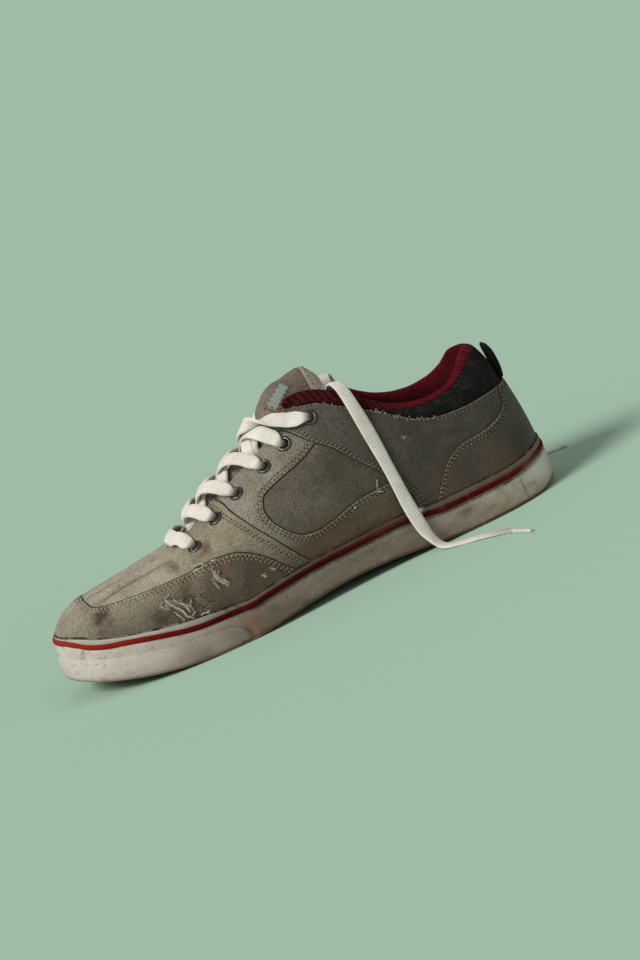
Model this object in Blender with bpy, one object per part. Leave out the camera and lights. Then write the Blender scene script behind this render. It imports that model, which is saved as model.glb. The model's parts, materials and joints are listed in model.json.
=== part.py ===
"""A worn low-top canvas sneaker for the left foot, standing empty on its sole.

Metres, +Z up. The toe is at -X, the heel at +X and the outer (lateral) side at -Y. Inside this file a
place on the shoe is (station, across, height) in millimetres: station runs from the toe tip to the heel.
"""

import math

import bmesh
import bpy
import numpy as np
from mathutils import Vector

MM = 0.001
LATERAL, MEDIAL = -1, 1

# Driving sizes of the shoe, in millimetres
LENGTH = 300.0  # of the outsole
BALL_STATION = 90.0  # end of the toe curve, and the point that the toe's ribs run to
BALL_HALF_WIDTH = 53.5
HEEL_STATION = 248.0  # start of the heel curve, and the point that the heel's ribs run to
HEEL_HALF_WIDTH = 38.9
TOE_POWER, HEEL_POWER = 2.15, 2.2  # superellipse powers of the outline's two ends
TOE_SPRING = 13.7
ARCH_RISE = 5.4
ARCH_START, ARCH_END = 101.0, 242.0
HEEL_ROLL = 5.8
GAP = 0.3  # between faces that touch

CROWN_SHIFT = 0.65  # share of the sole's sideways bend that the last has lost at its ridge

# Thicknesses
CANVAS = 2.0
TREAD = 2.3  # the outsole's lower part, which runs out to the sidewall's face
OUTSOLE = 8.7
INSOLE = 5.0
TONGUE_SUNK = CANVAS + 1.6  # of the tongue's top under the facings
TONGUE_ROOT_DROP = 3.4  # more of that where it is sewn in
FOXING = 1.9
BUMPER = 1.2
TAB_HALF_WIDTH = 9.0

# Stations of the flex grooves across the outsole
GROOVES = (52, 66, 80, 94, 122, 136, 238, 252, 278)
GROOVE_HALF_WIDTH, GROOVE_DEPTH = 0.9, 1.1

# Eyelets and lace
EYELET_FLANGE, EYELET_BARREL, EYELET_HOLE = 4.3, 2.9, 2.3  # radii
EYELET_CUT = 3.2  # radius of the hole in the canvas
FLANGE = 0.5
LACE_WIDTH, LACE = 8.0, 1.5
LACE_END_RADIUS = 2.0
AGLET_RADIUS, AGLET_LENGTH = 1.3, 20.0

# Station of each eyelet and its height on the lateral side; the medial ones mirror them
EYELETS = ((94.0, 56.1), (111.3, 65.5), (127.6, 73.2), (147.6, 80.4), (163.2, 87.0), (182.0, 94.7))

LACE_STEPS = 10  # along a crossing

# Numbers of ribs in the toe, side and heel of each half, and of rows up a rib
TOE_RIBS, SIDE_RIBS, HEEL_RIBS, ROWS = 12, 15, 8, 9


def smooth(*rows):
    """A function that joins (station, value) rows by a smooth curve with no overshoot."""
    x, y = (np.array(column, float) for column in zip(*rows))
    step = np.diff(x)
    slope = np.diff(y) / step
    tangent = np.concatenate([slope[:1], np.zeros(len(x) - 2), slope[-1:]])
    for i in range(1, len(x) - 1):
        if slope[i - 1] * slope[i] > 0:
            before, after = 2 * step[i] + step[i - 1], step[i] + 2 * step[i - 1]
            tangent[i] = (before + after) / (before / slope[i - 1] + after / slope[i])

    def value(station):
        at = min(max(station, x[0]), x[-1])
        i = min(max(int(np.searchsorted(x, at)) - 1, 0), len(step) - 1)
        t = (at - x[i]) / step[i]
        start = (1 + 2 * t) * (1 - t) ** 2 * y[i] + t * (1 - t) ** 2 * step[i] * tangent[i]
        end = t * t * (3 - 2 * t) * y[i + 1] + t * t * (t - 1) * step[i] * tangent[i + 1]
        return float(start + end)

    return value


# Each table below has the columns (station, value)
side_half_width = smooth(
    (90, 53.5), (105, 53), (120, 51), (140, 46.8), (160, 42.5), (180, 39.7), (200, 38.4), (220, 38.4),
    (248, 38.9),
)
centre_line = smooth(
    (0, 7), (10, 6), (30, 4.2), (60, 2.2), (90, 0.5), (105, -1), (120, -2.5), (140, -3.8), (160, -4),
    (200, -3.1), (220, -2.4), (240, -1.4), (255, -0.85), (300, 0),
)
foxing_top = smooth(
    (0, 38.9), (10, 37.6), (20, 34.6), (32, 31.7), (45, 29.4), (60, 27), (80, 24.7), (108, 22.6), (120, 23.9),
    (150, 25.8), (205, 25.8), (228, 23.9), (270, 23.8), (285, 24.8), (300, 28),
)
bumper_top = smooth((0, 36), (10, 33), (20, 28), (32, 25), (60, 19), (88, 14.5), (101, 14))
widest_height = smooth(
    (4, 28), (18, 26.5), (60, 24.5), (95, 24.5), (150, 28), (200, 29), (250, 27), (297, 24),
)
ridge = smooth(
    (4, 48), (15, 52.2), (28, 52.9), (40, 52.8), (60, 53.4), (80, 56.2), (90, 58.6), (97, 62), (112, 71.2),
    (131, 81), (148, 90), (160, 98), (172, 108), (180, 117), (190, 124), (200, 128), (215, 131), (235, 127),
    (255, 125), (300, 130),
)
roundness = smooth((90, 2.5), (120, 2.3), (160, 2.1), (210, 2.0), (248, 1.9))
throat_half_gap = smooth((90, 5.5), (100, 8), (120, 11), (150, 14), (166, 16), (180, 18))
canvas_top = smooth(
    (168, 104), (178, 102.4), (188, 100.8), (198, 95), (208, 88.4), (218, 82.4), (228, 74.5), (238, 68.7),
    (248, 65.7), (258, 64.7), (268, 64.2), (292, 64.5),
)
collar_top = smooth(
    (170, 106.5), (178, 109.3), (188, 108.2), (198, 103.9), (208, 97.8), (218, 88.7), (228, 82.3), (238, 78.8),
    (248, 77.5), (258, 78.5), (268, 82), (273, 85), (280, 89), (287, 90.5),
)
tongue_ridge = smooth(
    (82, 51.5), (90, 56.5), (97, 64), (112, 74.5), (131, 83.5), (148, 93), (160, 102), (167, 109), (175, 115.5),
    (182, 118), (189, 118.9), (194, 116.8), (198, 112),
)
tongue_half_width = smooth(
    (82, 18), (100, 20), (150, 20.5), (162, 17.5), (169, 13.9), (176, 12.6), (190, 13.4), (198, 12.6),
)
tongue_thickness = smooth((82, 1.8), (90, 2.2), (105, 4), (150, 5), (185, 7), (194, 6), (198, 3.5))


def underside(station):
    """Height of the sole's bottom: toe spring, forefoot flat, arch, heel flat, and a small roll at the back."""
    if station < 88:
        return TOE_SPRING * ((88 - max(station, 0)) / 88) ** 1.9
    if ARCH_START < station < ARCH_END:
        share = (station - ARCH_START) / (ARCH_END - ARCH_START)
        return ARCH_RISE * math.sin(math.pi * share**0.88) ** 1.45
    if station > 284:
        return HEEL_ROLL * ((station - 284) / 16) ** 2
    return 0.0


def edge_point(side, way):
    """The sole's outline. way is 0 at the toe tip, 1 at the ball, 2 at the heel's start and 3 at the back."""
    if way <= 1:
        angle = way * math.pi / 2
        station = BALL_STATION * (1 - math.cos(angle) ** (2 / TOE_POWER))
        half = BALL_HALF_WIDTH * math.sin(angle) ** (2 / TOE_POWER)
    elif way < 2:
        station = BALL_STATION + (HEEL_STATION - BALL_STATION) * (way - 1)
        half = side_half_width(station)
    else:
        angle = (3 - way) * math.pi / 2
        station = HEEL_STATION + (LENGTH - HEEL_STATION) * math.cos(angle) ** (2 / HEEL_POWER)
        half = HEEL_HALF_WIDTH * math.sin(angle) ** (2 / HEEL_POWER)
    return station, centre_line(station) + side * half


def outline(side, way, inset):
    """The outline moved inwards by inset, at right angles to itself."""
    near, far = max(way - 0.01, 0.0), min(way + 0.01, 3.0)
    a, b, here = edge_point(side, near), edge_point(side, far), edge_point(side, way)
    along = Vector((b[0] - a[0], b[1] - a[1]))
    if way in (0.0, 3.0):
        along = Vector((0.0, side if way == 0.0 else -side))
    along.normalize()
    inward = Vector((-along.y, along.x)) * -side
    return here[0] + inward.x * inset, here[1] + inward.y * inset


def ring_ways():
    """(side, way) once round the shoe: up the lateral side from the toe, and back down the medial one."""
    ways = [i / TOE_RIBS for i in range(TOE_RIBS)]
    ways += [1 + i / SIDE_RIBS for i in range(SIDE_RIBS)]
    ways += [2 + i / HEEL_RIBS for i in range(HEEL_RIBS)]
    return [(LATERAL, w) for w in ways] + [(MEDIAL, w) for w in [3.0] + ways[:0:-1]]


def bumper_step(station):
    """How far the foxing steps in where the toe bumper lies over it."""
    return (BUMPER + GAP) * min(max((106 - station) / 4, 0), 1)


def upper_inset(station):
    return 3.0 + 0.8 * bumper_step(station)


def rib(side, way, count=140):
    """Points up one rib of the upper's outside, from the feather edge to where the last would close."""
    station, _ = edge_point(side, way)
    foot, across = outline(side, way, upper_inset(station))
    across -= centre_line(foot)
    pivot = BALL_STATION if way < 1 else HEEL_STATION if way > 2 else foot
    power = roundness(foot) + (1.0 * math.cos(way * math.pi / 2) ** 2 if way < 1 else 0)
    low, wide = underside(foot) + OUTSOLE + GAP, widest_height(foot)
    points = [(foot, across + centre_line(foot), low + (wide - low) * i / 6) for i in range(6)]
    for i in range(count + 1):
        angle = i / count * math.pi / 2
        in_by, up_by = math.cos(angle) ** (2 / power), math.sin(angle) ** (2 / power)
        s = pivot + (foot - pivot) * in_by
        y = across * in_by + centre_line(s) * (1 - CROWN_SHIFT * up_by**2)
        points.append((s, y, wide + (ridge(s) - wide) * up_by))
    return np.array(points)


def point_at(points, values, wanted):
    """The point of a polyline where values first reaches wanted."""
    over = int(np.argmax(values >= wanted)) if (values >= wanted).any() else len(values) - 1
    if over == 0:
        return points[0]
    t = (wanted - values[over - 1]) / max(values[over] - values[over - 1], 1e-9)
    return points[over - 1] + (points[over] - points[over - 1]) * min(max(t, 0), 1)


def open_rib(side, way):
    """The rib as far as the throat's edge or the canvas top line, in ROWS even steps."""
    points = rib(side, way)
    middle = np.array([throat_middle(s) for s in points[:, 0]])
    if way < 1:
        reach = np.hypot(points[:, 0] - BALL_STATION, points[:, 1] - middle) - throat_half_gap(BALL_STATION)
    else:
        reach = np.abs(points[:, 1] - middle) - [throat_half_gap(s) for s in points[:, 0]]
        below = np.array([canvas_top(s) - z for s, _, z in points])
        reach = below if way > 1.8 else np.minimum(reach, below) if way > 1.3 else reach
    beyond = np.flatnonzero(reach < 0)
    last = int(beyond[0]) if len(beyond) else len(points) - 1
    end = point_at(points[: last + 1], -reach[: last + 1], 0.0)
    points = np.vstack([points[:last], end])
    length = np.concatenate([[0], np.cumsum(np.linalg.norm(np.diff(points, axis=0), axis=1))])
    even = np.linspace(0, length[-1], ROWS)
    return np.column_stack([np.interp(even, length, column) for column in points.T])


def surface_at(side, way, height):
    """(point, level outward direction, lean) on the upper's outside at a height, carried straight up past
    its shoulder. Lean is how much further a step through the wall is when it is taken level."""
    points = rib(side, way)
    shoulder = points[np.argmin(np.abs(points[:, 2] - (points[6, 2] + 0.88 * np.ptp(points[6:, 2]))))]
    tip = point_at(points, points[:, 2], min(height, shoulder[2]))
    over = point_at(points, points[:, 2], min(height, shoulder[2]) + 1)
    ahead, behind = edge_point(side, min(way + 0.02, 3)), edge_point(side, max(way - 0.02, 0))
    along = Vector((ahead[0] - behind[0], ahead[1] - behind[1], 0)).normalized()
    outward = along.cross(Vector((0, 0, 1))) * -side
    if way in (0.0, 3.0):
        outward = Vector((-1 if way == 0.0 else 1, 0, 0))
    lean = math.hypot(1, math.hypot(over[0] - tip[0], over[1] - tip[1]))
    return Vector((tip[0], tip[1], height)), outward, lean


def last_height(station, across, sunk=0.0):
    """Height of the upper's outside, or of a surface sunk below it, over a place between ball and heel."""
    half = side_half_width(station) - upper_inset(station) - sunk
    power, wide = roundness(station), widest_height(station)
    up_by = 1.0
    for _ in range(12):
        middle = centre_line(station) * (1 - CROWN_SHIFT * up_by**2)
        part = min(abs(across - middle) / half, 1)
        up_by = (1 - part**power) ** (1 / power)
    return wide + (ridge(station) - sunk - wide) * up_by


def throat_middle(station):
    return (1 - CROWN_SHIFT) * centre_line(station)


def way_of(station):
    """The rib parameter of a station between the ball and the heel's start."""
    return 1 + (station - BALL_STATION) / (HEEL_STATION - BALL_STATION)


def surface_material(name, colour, roughness, metallic=0.0):
    """One Principled finish; colour is linear red, green and blue."""
    material = bpy.data.materials.new(name)
    material.use_nodes = True
    shader = material.node_tree.nodes["Principled BSDF"]
    shader.inputs["Base Color"].default_value = (*colour, 1)
    shader.inputs["Roughness"].default_value = roughness
    shader.inputs["Metallic"].default_value = metallic
    return material


def place(point):
    """A (station, across, height) in millimetres as world metres."""
    return (point[0] - LENGTH / 2) * MM, point[1] * MM, point[2] * MM


def make_object(name, points, faces, material):
    mesh = bpy.data.meshes.new(name)
    mesh.from_pydata([place(p) for p in points], [], faces)
    tidy = bmesh.new()
    tidy.from_mesh(mesh)
    bmesh.ops.remove_doubles(tidy, verts=tidy.verts, dist=1e-6)
    bmesh.ops.recalc_face_normals(tidy, faces=tidy.faces)
    tidy.to_mesh(mesh)
    tidy.free()
    mesh.materials.append(material)
    mesh.shade_smooth()
    mesh.set_sharp_from_angle(angle=math.radians(40))
    thing = bpy.data.objects.new(name, mesh)
    bpy.context.scene.collection.objects.link(thing)
    return thing


def loft(name, loops, material, closed):
    """A solid through loops of equal count: closed joins the last loop to the first, else both get caps."""
    count = len(loops[0])
    points = [p for loop in loops for p in loop]
    faces = []
    for i in range(len(loops) if closed else len(loops) - 1):
        a, b = i * count, (i + 1) % len(loops) * count
        for j in range(count):
            k = (j + 1) % count
            faces.append((a + j, a + k, b + k, b + j))
    if not closed:
        faces += [tuple(range(count)), tuple(range((len(loops) - 1) * count, len(loops) * count))]
    return make_object(name, points, faces, material)


def slab(name, rings, material):
    """A solid between rings round the shoe, the first and last closed by strips from side to side."""
    ring = ring_ways()
    count = len(ring)
    points = [p for level in rings for p in level]
    faces = []
    for level in range(len(rings) - 1):
        a, b = level * count, (level + 1) * count
        faces += [(a + i, a + (i + 1) % count, b + (i + 1) % count, b + i) for i in range(count)]
    for base in (0, (len(rings) - 1) * count):
        for i in range(count // 2):
            faces.append(tuple(dict.fromkeys(base + n % count for n in (i, i + 1, count - i - 1, count - i))))
    return make_object(name, points, faces, material)


def cut(thing, cutters):
    """Takes the cutters' shapes out of a thing and removes them."""
    for cutter in cutters:
        cutter.hide_render = True
        cutter.display_type = "WIRE"
        modifier = thing.modifiers.new(cutter.name, "BOOLEAN")
        modifier.operation = "DIFFERENCE"
        modifier.solver = "EXACT"
        modifier.object = cutter


def sole_point(side, way, inset, rise):
    """A point inset from the sole's outline, at a rise above the underside there."""
    s, y = outline(side, way, inset(edge_point(side, way)[0]) if callable(inset) else inset)
    return s, y, underside(s) + rise


def level_ring(inset, rise):
    """A ring parallel to the sole's underside: inset may be a number or a function of the station."""
    return [sole_point(side, way, inset, rise) for side, way in ring_ways()]


def make_outsole(rubber):
    rings = [level_ring(1.6, 0), level_ring(0.5, 0.7), level_ring(0.3, TREAD), level_ring(upper_inset, TREAD)]
    outsole = slab("outsole", rings + [level_ring(upper_inset, OUTSOLE)], rubber)
    # shallow flex grooves across the forefoot and heel leave the main lugs between them
    grooves = []
    for number, station in enumerate(GROOVES):
        deep = underside(station) + GROOVE_DEPTH
        sides = (station - GROOVE_HALF_WIDTH, station + GROOVE_HALF_WIDTH)
        corners = [(s, y, z) for s in sides for y in (-62, 62) for z in (-4, deep)]
        faces = ((0, 1, 3, 2), (4, 5, 7, 6), (0, 1, 5, 4), (2, 3, 7, 6), (0, 2, 6, 4), (1, 3, 7, 5))
        grooves.append(make_object(f"groove_cutter_{number + 1}", corners, faces, rubber))
    cut(outsole, grooves)


def make_foxing(rubber):
    loops = []
    for side, way in ring_ways():
        station = edge_point(side, way)[0]
        top, step = foxing_top(station), bumper_step(station)
        wall = upper_inset(station) - GAP
        loop = [sole_point(side, way, wall, TREAD + GAP)]
        for share in (0.35, 0.7, 1.0):
            height = widest_height(station) - 3 + share * (top - widest_height(station) + 3)
            point, outward, lean = surface_at(side, way, height)
            loop.append(tuple(point + outward * GAP * lean))
        crest, outward, lean = surface_at(side, way, top)
        crest = crest + outward * (GAP * lean + FOXING)
        loop.append((crest.x, crest.y, top - 0.5))
        half_way = 0.5 * (top - underside(station))
        loop += [sole_point(side, way, step, rise) for rise in (half_way, TREAD + 3.5)]
        loop.append(sole_point(side, way, step + 0.5, TREAD + GAP))
        loops.append(loop)
    loft("foxing", loops, rubber, closed=True)


def make_toe_bumper(rubber):
    last_way = 1 + 1 / SIDE_RIBS
    ring = [pair for pair in ring_ways() if pair[1] <= last_way + 0.001]
    start = ring.index((LATERAL, last_way)) + 1
    loops = []
    for side, way in ring[start:] + ring[:start]:
        station = edge_point(side, way)[0]
        fade = math.sqrt(max(1 - (max(station - 88, 0) / 13.2) ** 2, 0.02))
        low = underside(station)
        high = min(bumper_top(station) - low, 0.5 * (foxing_top(station) - low) + 1)
        top = TREAD + GAP + (high - TREAD - GAP) * fade
        middle = TREAD + GAP + 0.4 * (top - TREAD - GAP)
        section = ((BUMPER, TREAD + GAP), (0.3, TREAD + GAP), (0.0, middle), (0.2, top), (BUMPER, top))
        loops.append([sole_point(side, way, inset, rise) for inset, rise in section])
    loft("toe_bumper", loops, rubber, closed=False)


def make_insole(foam):
    def inside(extra):
        return lambda station: upper_inset(station) + CANVAS + extra

    rise = OUTSOLE + GAP + 0.15
    profile = ((0.6, rise), (0.5, rise + 3.5), (1.4, rise + INSOLE), (5.0, rise + INSOLE - 0.8))
    slab("insole", [level_ring(inside(extra), level) for extra, level in profile], foam)


def eyelet_frame(side, station, height):
    """The middle of an eyelet on the canvas, and the direction straight out of it."""
    points = rib(side, way_of(station))
    middle = Vector(point_at(points, points[:, 2], height))
    before, after = (rib(side, way_of(station + d)) for d in (-2, 2))
    along = Vector(point_at(after, after[:, 2], height)) - Vector(point_at(before, before[:, 2], height))
    higher, lower = (Vector(point_at(points, points[:, 2], height + d)) for d in (2, -2))
    out = along.cross(higher - lower).normalized()
    return middle, out if out.z > 0 else -out


def turned(name, profile, middle, out, material, sides=10):
    """A ring turned about an axis: profile is (radius, distance along out) all round its section."""
    across = out.orthogonal().normalized()
    beside = out.cross(across)
    loops = []
    for i in range(sides):
        angle = 2 * math.pi * i / sides
        ray = across * math.cos(angle) + beside * math.sin(angle)
        loops.append([middle + ray * radius + out * along for radius, along in profile])
    return loft(name, loops, material, closed=True)


def make_upper(canvas):
    outer = [open_rib(side, way) for side, way in ring_ways()]
    grid = np.array(outer)
    around = np.roll(grid, -1, axis=0) - np.roll(grid, 1, axis=0)
    up = np.gradient(grid, axis=1)
    normal = np.cross(around, up)
    normal /= np.linalg.norm(normal, axis=2, keepdims=True)
    normal[:, 0] *= [1, 1, 0]
    middle = np.array([150, 0, 30])
    outward = np.sign((normal[:, 4] * (grid[:, 4] - middle)).sum(1))
    inner = grid - CANVAS * normal * outward[:, None, None]
    inner[:, 0, 2] = grid[:, 0, 2]
    loops = [np.vstack([a, b[::-1]]).tolist() for a, b in zip(grid, inner)]
    upper = loft("upper", loops, canvas, closed=True)
    cutters = []
    for side, word in ((LATERAL, "lateral"), (MEDIAL, "medial")):
        for number, (station, height) in enumerate(EYELETS):
            centre, out = eyelet_frame(side, station, height)
            rim = out.orthogonal().normalized()
            beside = out.cross(rim)
            turns = [2 * math.pi * i / 12 for i in range(12)]
            circle = [(rim * math.cos(a) + beside * math.sin(a)) * EYELET_CUT for a in turns]
            ends = [[centre + ray + out * end for ray in circle] for end in (-6, 4)]
            cutters.append(loft(f"hole_cutter_{word}_{number + 1}", ends, canvas, closed=False))
    cut(upper, cutters)


def make_eyelets(metal):
    profile = (
        (EYELET_HOLE, -CANVAS - 0.9), (EYELET_BARREL, -CANVAS - 0.9), (EYELET_BARREL, 0.4),
        (EYELET_FLANGE, 0.4), (EYELET_FLANGE - 0.5, 0.4 + FLANGE), (EYELET_HOLE, 0.4 + FLANGE),
    )
    for side, word in ((LATERAL, "lateral"), (MEDIAL, "medial")):
        for number, (station, height) in enumerate(EYELETS):
            centre, out = eyelet_frame(side, station, height)
            turned(f"eyelet_{word}_{number + 1}", profile, centre, out, metal)


def blend(low, high, value):
    """0 below low, 1 above high, and a smooth step between."""
    t = min(max((value - low) / (high - low), 0), 1)
    return t * t * (3 - 2 * t)


def tongue_height(station, across):
    """Height of the tongue's top face: sunk under the facings, proud between them, free past the top eyelets."""
    half, crown = tongue_half_width(station), tongue_ridge(station)
    middle = throat_middle(station)
    part = min(abs(across - middle) / half, 1)
    on_last = max(station, BALL_STATION)
    root = TONGUE_ROOT_DROP * (1 - blend(82, 96, station))
    bed, flat = (last_height(on_last, y, TONGUE_SUNK) - root for y in (across, middle))
    bulge = max(1 - ((across - middle) / (throat_half_gap(station) - 2.6)) ** 2, 0)
    held = bed + max(crown - flat, 0) * bulge
    free = crown - 15 * (1 - (1 - part**2.4) ** (1 / 2.4))
    share = blend(166, 176, station)
    return held * (1 - share) + free * share


def make_tongue(cloth):
    stations = [82, 86, 90, 96, 103, 112, 121, 131, 140, 148, 156, 163, 168, 173, 178, 184, 189, 193, 196, 198]
    parts = (-1, -0.86, -0.62, -0.35, 0, 0.35, 0.62, 0.86, 1)
    loops = []
    for station in stations:
        half, thick, middle = tongue_half_width(station), tongue_thickness(station), throat_middle(station)
        top, bottom = [], []
        for part in parts:
            across = middle + part * half
            height = tongue_height(station, across)
            top.append((station, across, height))
            bottom.append((station, middle + part * (half - 0.4), height - thick * (1 - 0.45 * abs(part) ** 3)))
        loops.append(top + bottom[::-1])
    loft("tongue", loops, cloth, closed=False)


def make_collar(padding):
    """A padded band from the top eyelet round the heel, with a skirt down inside the canvas."""
    ways = [(LATERAL, w) for w in np.linspace(way_of(177), 2, 9)]
    ways += [(LATERAL, 2 + i / HEEL_RIBS) for i in range(1, HEEL_RIBS + 1)]
    ways += [(MEDIAL, 3 - i / HEEL_RIBS) for i in range(1, HEEL_RIBS + 1)]
    ways += [(MEDIAL, w) for w in np.linspace(2, way_of(177), 9)[1:]]
    loops = []
    for side, way in ways:
        station = edge_point(side, way)[0]
        if way > 2:
            station = surface_at(side, way, 80)[0].x
        low, top = canvas_top(station) + GAP + 0.5, collar_top(station)
        fat = 0.55 + 0.45 * blend(180, 225, station)
        front = blend(178, 196, station)
        skirt = low - 2.6 * front - 11.4 * blend(194, 215, station)
        inside = -CANVAS - 0.8
        section = (
            (0.0, low), (0.9 * fat, low + 0.35 * (top - low)), (0.3, low + 0.75 * (top - low)),
            (-1.2 * fat, top - 0.9), (-3.6 * fat, top), (-6.2 * fat, top - 1.4),
            (-7.6 * fat, low + 0.4 * (top - low)), (-6.6 * fat, low - 3 * front), (inside - 1.4, skirt),
            (inside, skirt), (inside, low - 1.2 * front), (inside, low),
        )
        loop = []
        for proud, height in section:
            point, outward, lean = surface_at(side, way, height)
            point = point + outward * (proud * lean if proud <= inside and height <= low else proud)
            loop.append((point.x, point.y, point.z))
        loops.append(loop)
    loft("collar", loops, padding, closed=False)


def make_pull_tab(webbing):
    """A folded webbing loop, sewn down at its foot against the back of the collar."""
    back = surface_at(LATERAL, 3.0, 70)[0].x + 1.4
    section = ((0, 66), (1.4, 66), (1.5, 72), (1.2, 79), (0.4, 84.4), (-0.8, 85.4), (-1.2, 83.6), (-0.5, 74))
    section = [(back + proud, height) for proud, height in section]
    loops = [[(s, across, z) for s, z in section] for across in (-TAB_HALF_WIDTH, TAB_HALF_WIDTH)]
    loft("pull_tab", loops, webbing, closed=False)


def ribbon(name, path, flat_ways, material, width=LACE_WIDTH, thick=LACE):
    """A flat strip with rounded edges along path; flat_ways are the directions out of its face."""
    loops = []
    for i, point in enumerate(path):
        ahead, behind = path[min(i + 1, len(path) - 1)], path[max(i - 1, 0)]
        along = (ahead - behind).normalized()
        out = (flat_ways[i] - along * flat_ways[i].dot(along)).normalized()
        across = along.cross(out)
        section = ((-0.5, 0.5), (-0.4, 0.0), (0.4, 0.0), (0.5, 0.5), (0.4, 1.0), (-0.4, 1.0))
        loops.append([point + across * w * width + out * t * thick for w, t in section])
    return loft(name, loops, material, closed=False)


# How a crossing lies above the last: share of its way from the far facing to the eyelet, and height
lace_lift = smooth((0, 0.5), (0.15, 3.5), (0.3, 6.0), (0.5, 6.9), (0.7, 5.5), (0.88, 2.4), (1, 1.5))
bar_lift = smooth((0, 1.5), (0.12, 2.4), (0.3, 5.4), (0.5, 6.6), (0.7, 5.4), (0.88, 2.4), (1, 1.5))


def lace_bed(station, across):
    """What the lace crosses: the facings, and the tongue where it stays below the last's ridge."""
    return min(last_height(station, across), tongue_ridge(station) + 1.2)


def lace_path(start, end, lift, extra):
    """Points over the tongue from start to end, each (station, across)."""
    path, outs = [], []
    for i in range(LACE_STEPS + 1):
        t = i / LACE_STEPS
        s, y = start[0] + (end[0] - start[0]) * t, start[1] + (end[1] - start[1]) * t
        height = lace_bed(s, y)
        slope_y = (lace_bed(s, y + 1) - lace_bed(s, y - 1)) / 2
        slope_s = (lace_bed(s + 1, y) - lace_bed(s - 1, y)) / 2
        out = Vector((-slope_s, -slope_y, 1)).normalized()
        path.append(Vector((s, y, height)) + out * (lift(t) + extra * math.sin(math.pi * t) ** 2))
        outs.append(out)
    return path, outs


def make_laces(cotton):
    spots = []
    for station, height in EYELETS:
        spots.append({side: eyelet_frame(side, station, height)[0] for side in (LATERAL, MEDIAL)})
    first = [(spots[0][side].x, spots[0][side].y) for side in (MEDIAL, LATERAL)]
    ribbon("lace_bar", *lace_path(*first, bar_lift, 0), cotton)
    for number in range(1, len(EYELETS)):
        strips = []
        for side, extra in ((LATERAL, 1.0), (MEDIAL, 0.0)):
            end = spots[number][side]
            below = max(EYELETS[number - 1][0] - 3.5, EYELETS[0][0] + 6)
            inside = throat_middle(below) - side * (throat_half_gap(below) - 3.2)
            strips.append(ribbon(f"lace_cross_{number}" if extra else f"lace_under_{number}",
                                 *lace_path((below, inside), (end.x, end.y), lace_lift, extra), cotton))
        strips[1].hide_render = True
        strips[1].display_type = "WIRE"
        join = strips[0].modifiers.new("join", "BOOLEAN")
        join.operation, join.solver, join.object = "UNION", "EXACT", strips[1]


# The two free ends: (station, across, height) of hand-laid points, from behind the tongue to the aglet
LATERAL_END = (
    (200.2, -10.6, 96), (200.9, -14.8, 101.5), (202, -20, 105.2), (203.2, -25.5, 106), (204.4, -31, 102.6),
    (205.6, -34.6, 94), (207, -37, 81), (208.5, -39.5, 64), (209.8, -42, 45), (211, -44, 27), (213.6, -47, 11),
    (218.6, -51.5, 3.6), (226.5, -57.5, 2.3), (235, -64.5, 2.3), (243, -72, 2.3), (249, -80, 2.3), (252, -88, 2.3),
)
MEDIAL_END = (
    (201.4, 10.5, 95), (202.2, 14.5, 100.8), (203.4, 19.2, 104.3), (204.8, 24.2, 104), (206.4, 29, 99.3),
    (208.4, 32.3, 89), (211.2, 35.2, 75), (214.5, 38, 60), (218.3, 41, 43), (223, 44, 26), (229, 47.5, 10.5),
    (238, 52, 3.4), (250, 56.5, 2.3), (264, 60, 2.3), (278, 62.5, 2.3), (291, 62, 2.3), (303, 59, 2.3),
)


def even_route(points, spacing):
    """Evenly spaced points on a smooth curve through the points, as near to spacing as fits."""
    p = np.vstack([2 * np.array(points[0]) - points[1], points, 2 * np.array(points[-1]) - points[-2]])
    dense = []
    for i in range(1, len(p) - 2):
        for t in np.linspace(0, 1, 24, endpoint=False):
            a, b, c = 2 * p[i], p[i + 1] - p[i - 1], 2 * p[i - 1] - 5 * p[i] + 4 * p[i + 1] - p[i + 2]
            dense.append((a + b * t + c * t**2 + (3 * p[i] - p[i - 1] - 3 * p[i + 1] + p[i + 2]) * t**3) / 2)
    dense = np.vstack([dense, p[-2]])
    length = np.concatenate([[0], np.cumsum(np.linalg.norm(np.diff(dense, axis=0), axis=1))])
    even = np.linspace(0, length[-1], round(length[-1] / spacing) + 1)
    return [Vector(np.interp(x, length, dense[:, k]) for k in range(3)) for x in even]


def make_lace_end(word, points, cotton, plastic):
    route = even_route(points, 8.0)
    direction = (route[-1] - route[-2]).normalized()
    curve = bpy.data.curves.new(f"lace_end_{word}", "CURVE")
    curve.dimensions = "3D"
    spline = curve.splines.new("POLY")
    spline.points.add(len(route) - 1)
    for spline_point, point in zip(spline.points, route):
        spline_point.co = (*place(point), 1)
    curve.bevel_depth = LACE_END_RADIUS * MM
    curve.bevel_resolution = 2
    curve.use_fill_caps = True
    curve.materials.append(cotton)
    thing = bpy.data.objects.new(f"lace_end_{word}", curve)
    bpy.context.scene.collection.objects.link(thing)
    start = route[-1] + direction * GAP
    sides = [2 * math.pi * i / 10 for i in range(10)]
    across = direction.orthogonal().normalized()
    beside = direction.cross(across)
    loops = [[start + direction * d + (across * math.cos(a) + beside * math.sin(a)) * AGLET_RADIUS for a in sides]
             for d in (0, AGLET_LENGTH)]
    loft(f"aglet_{word}", loops, plastic, closed=False)


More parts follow.
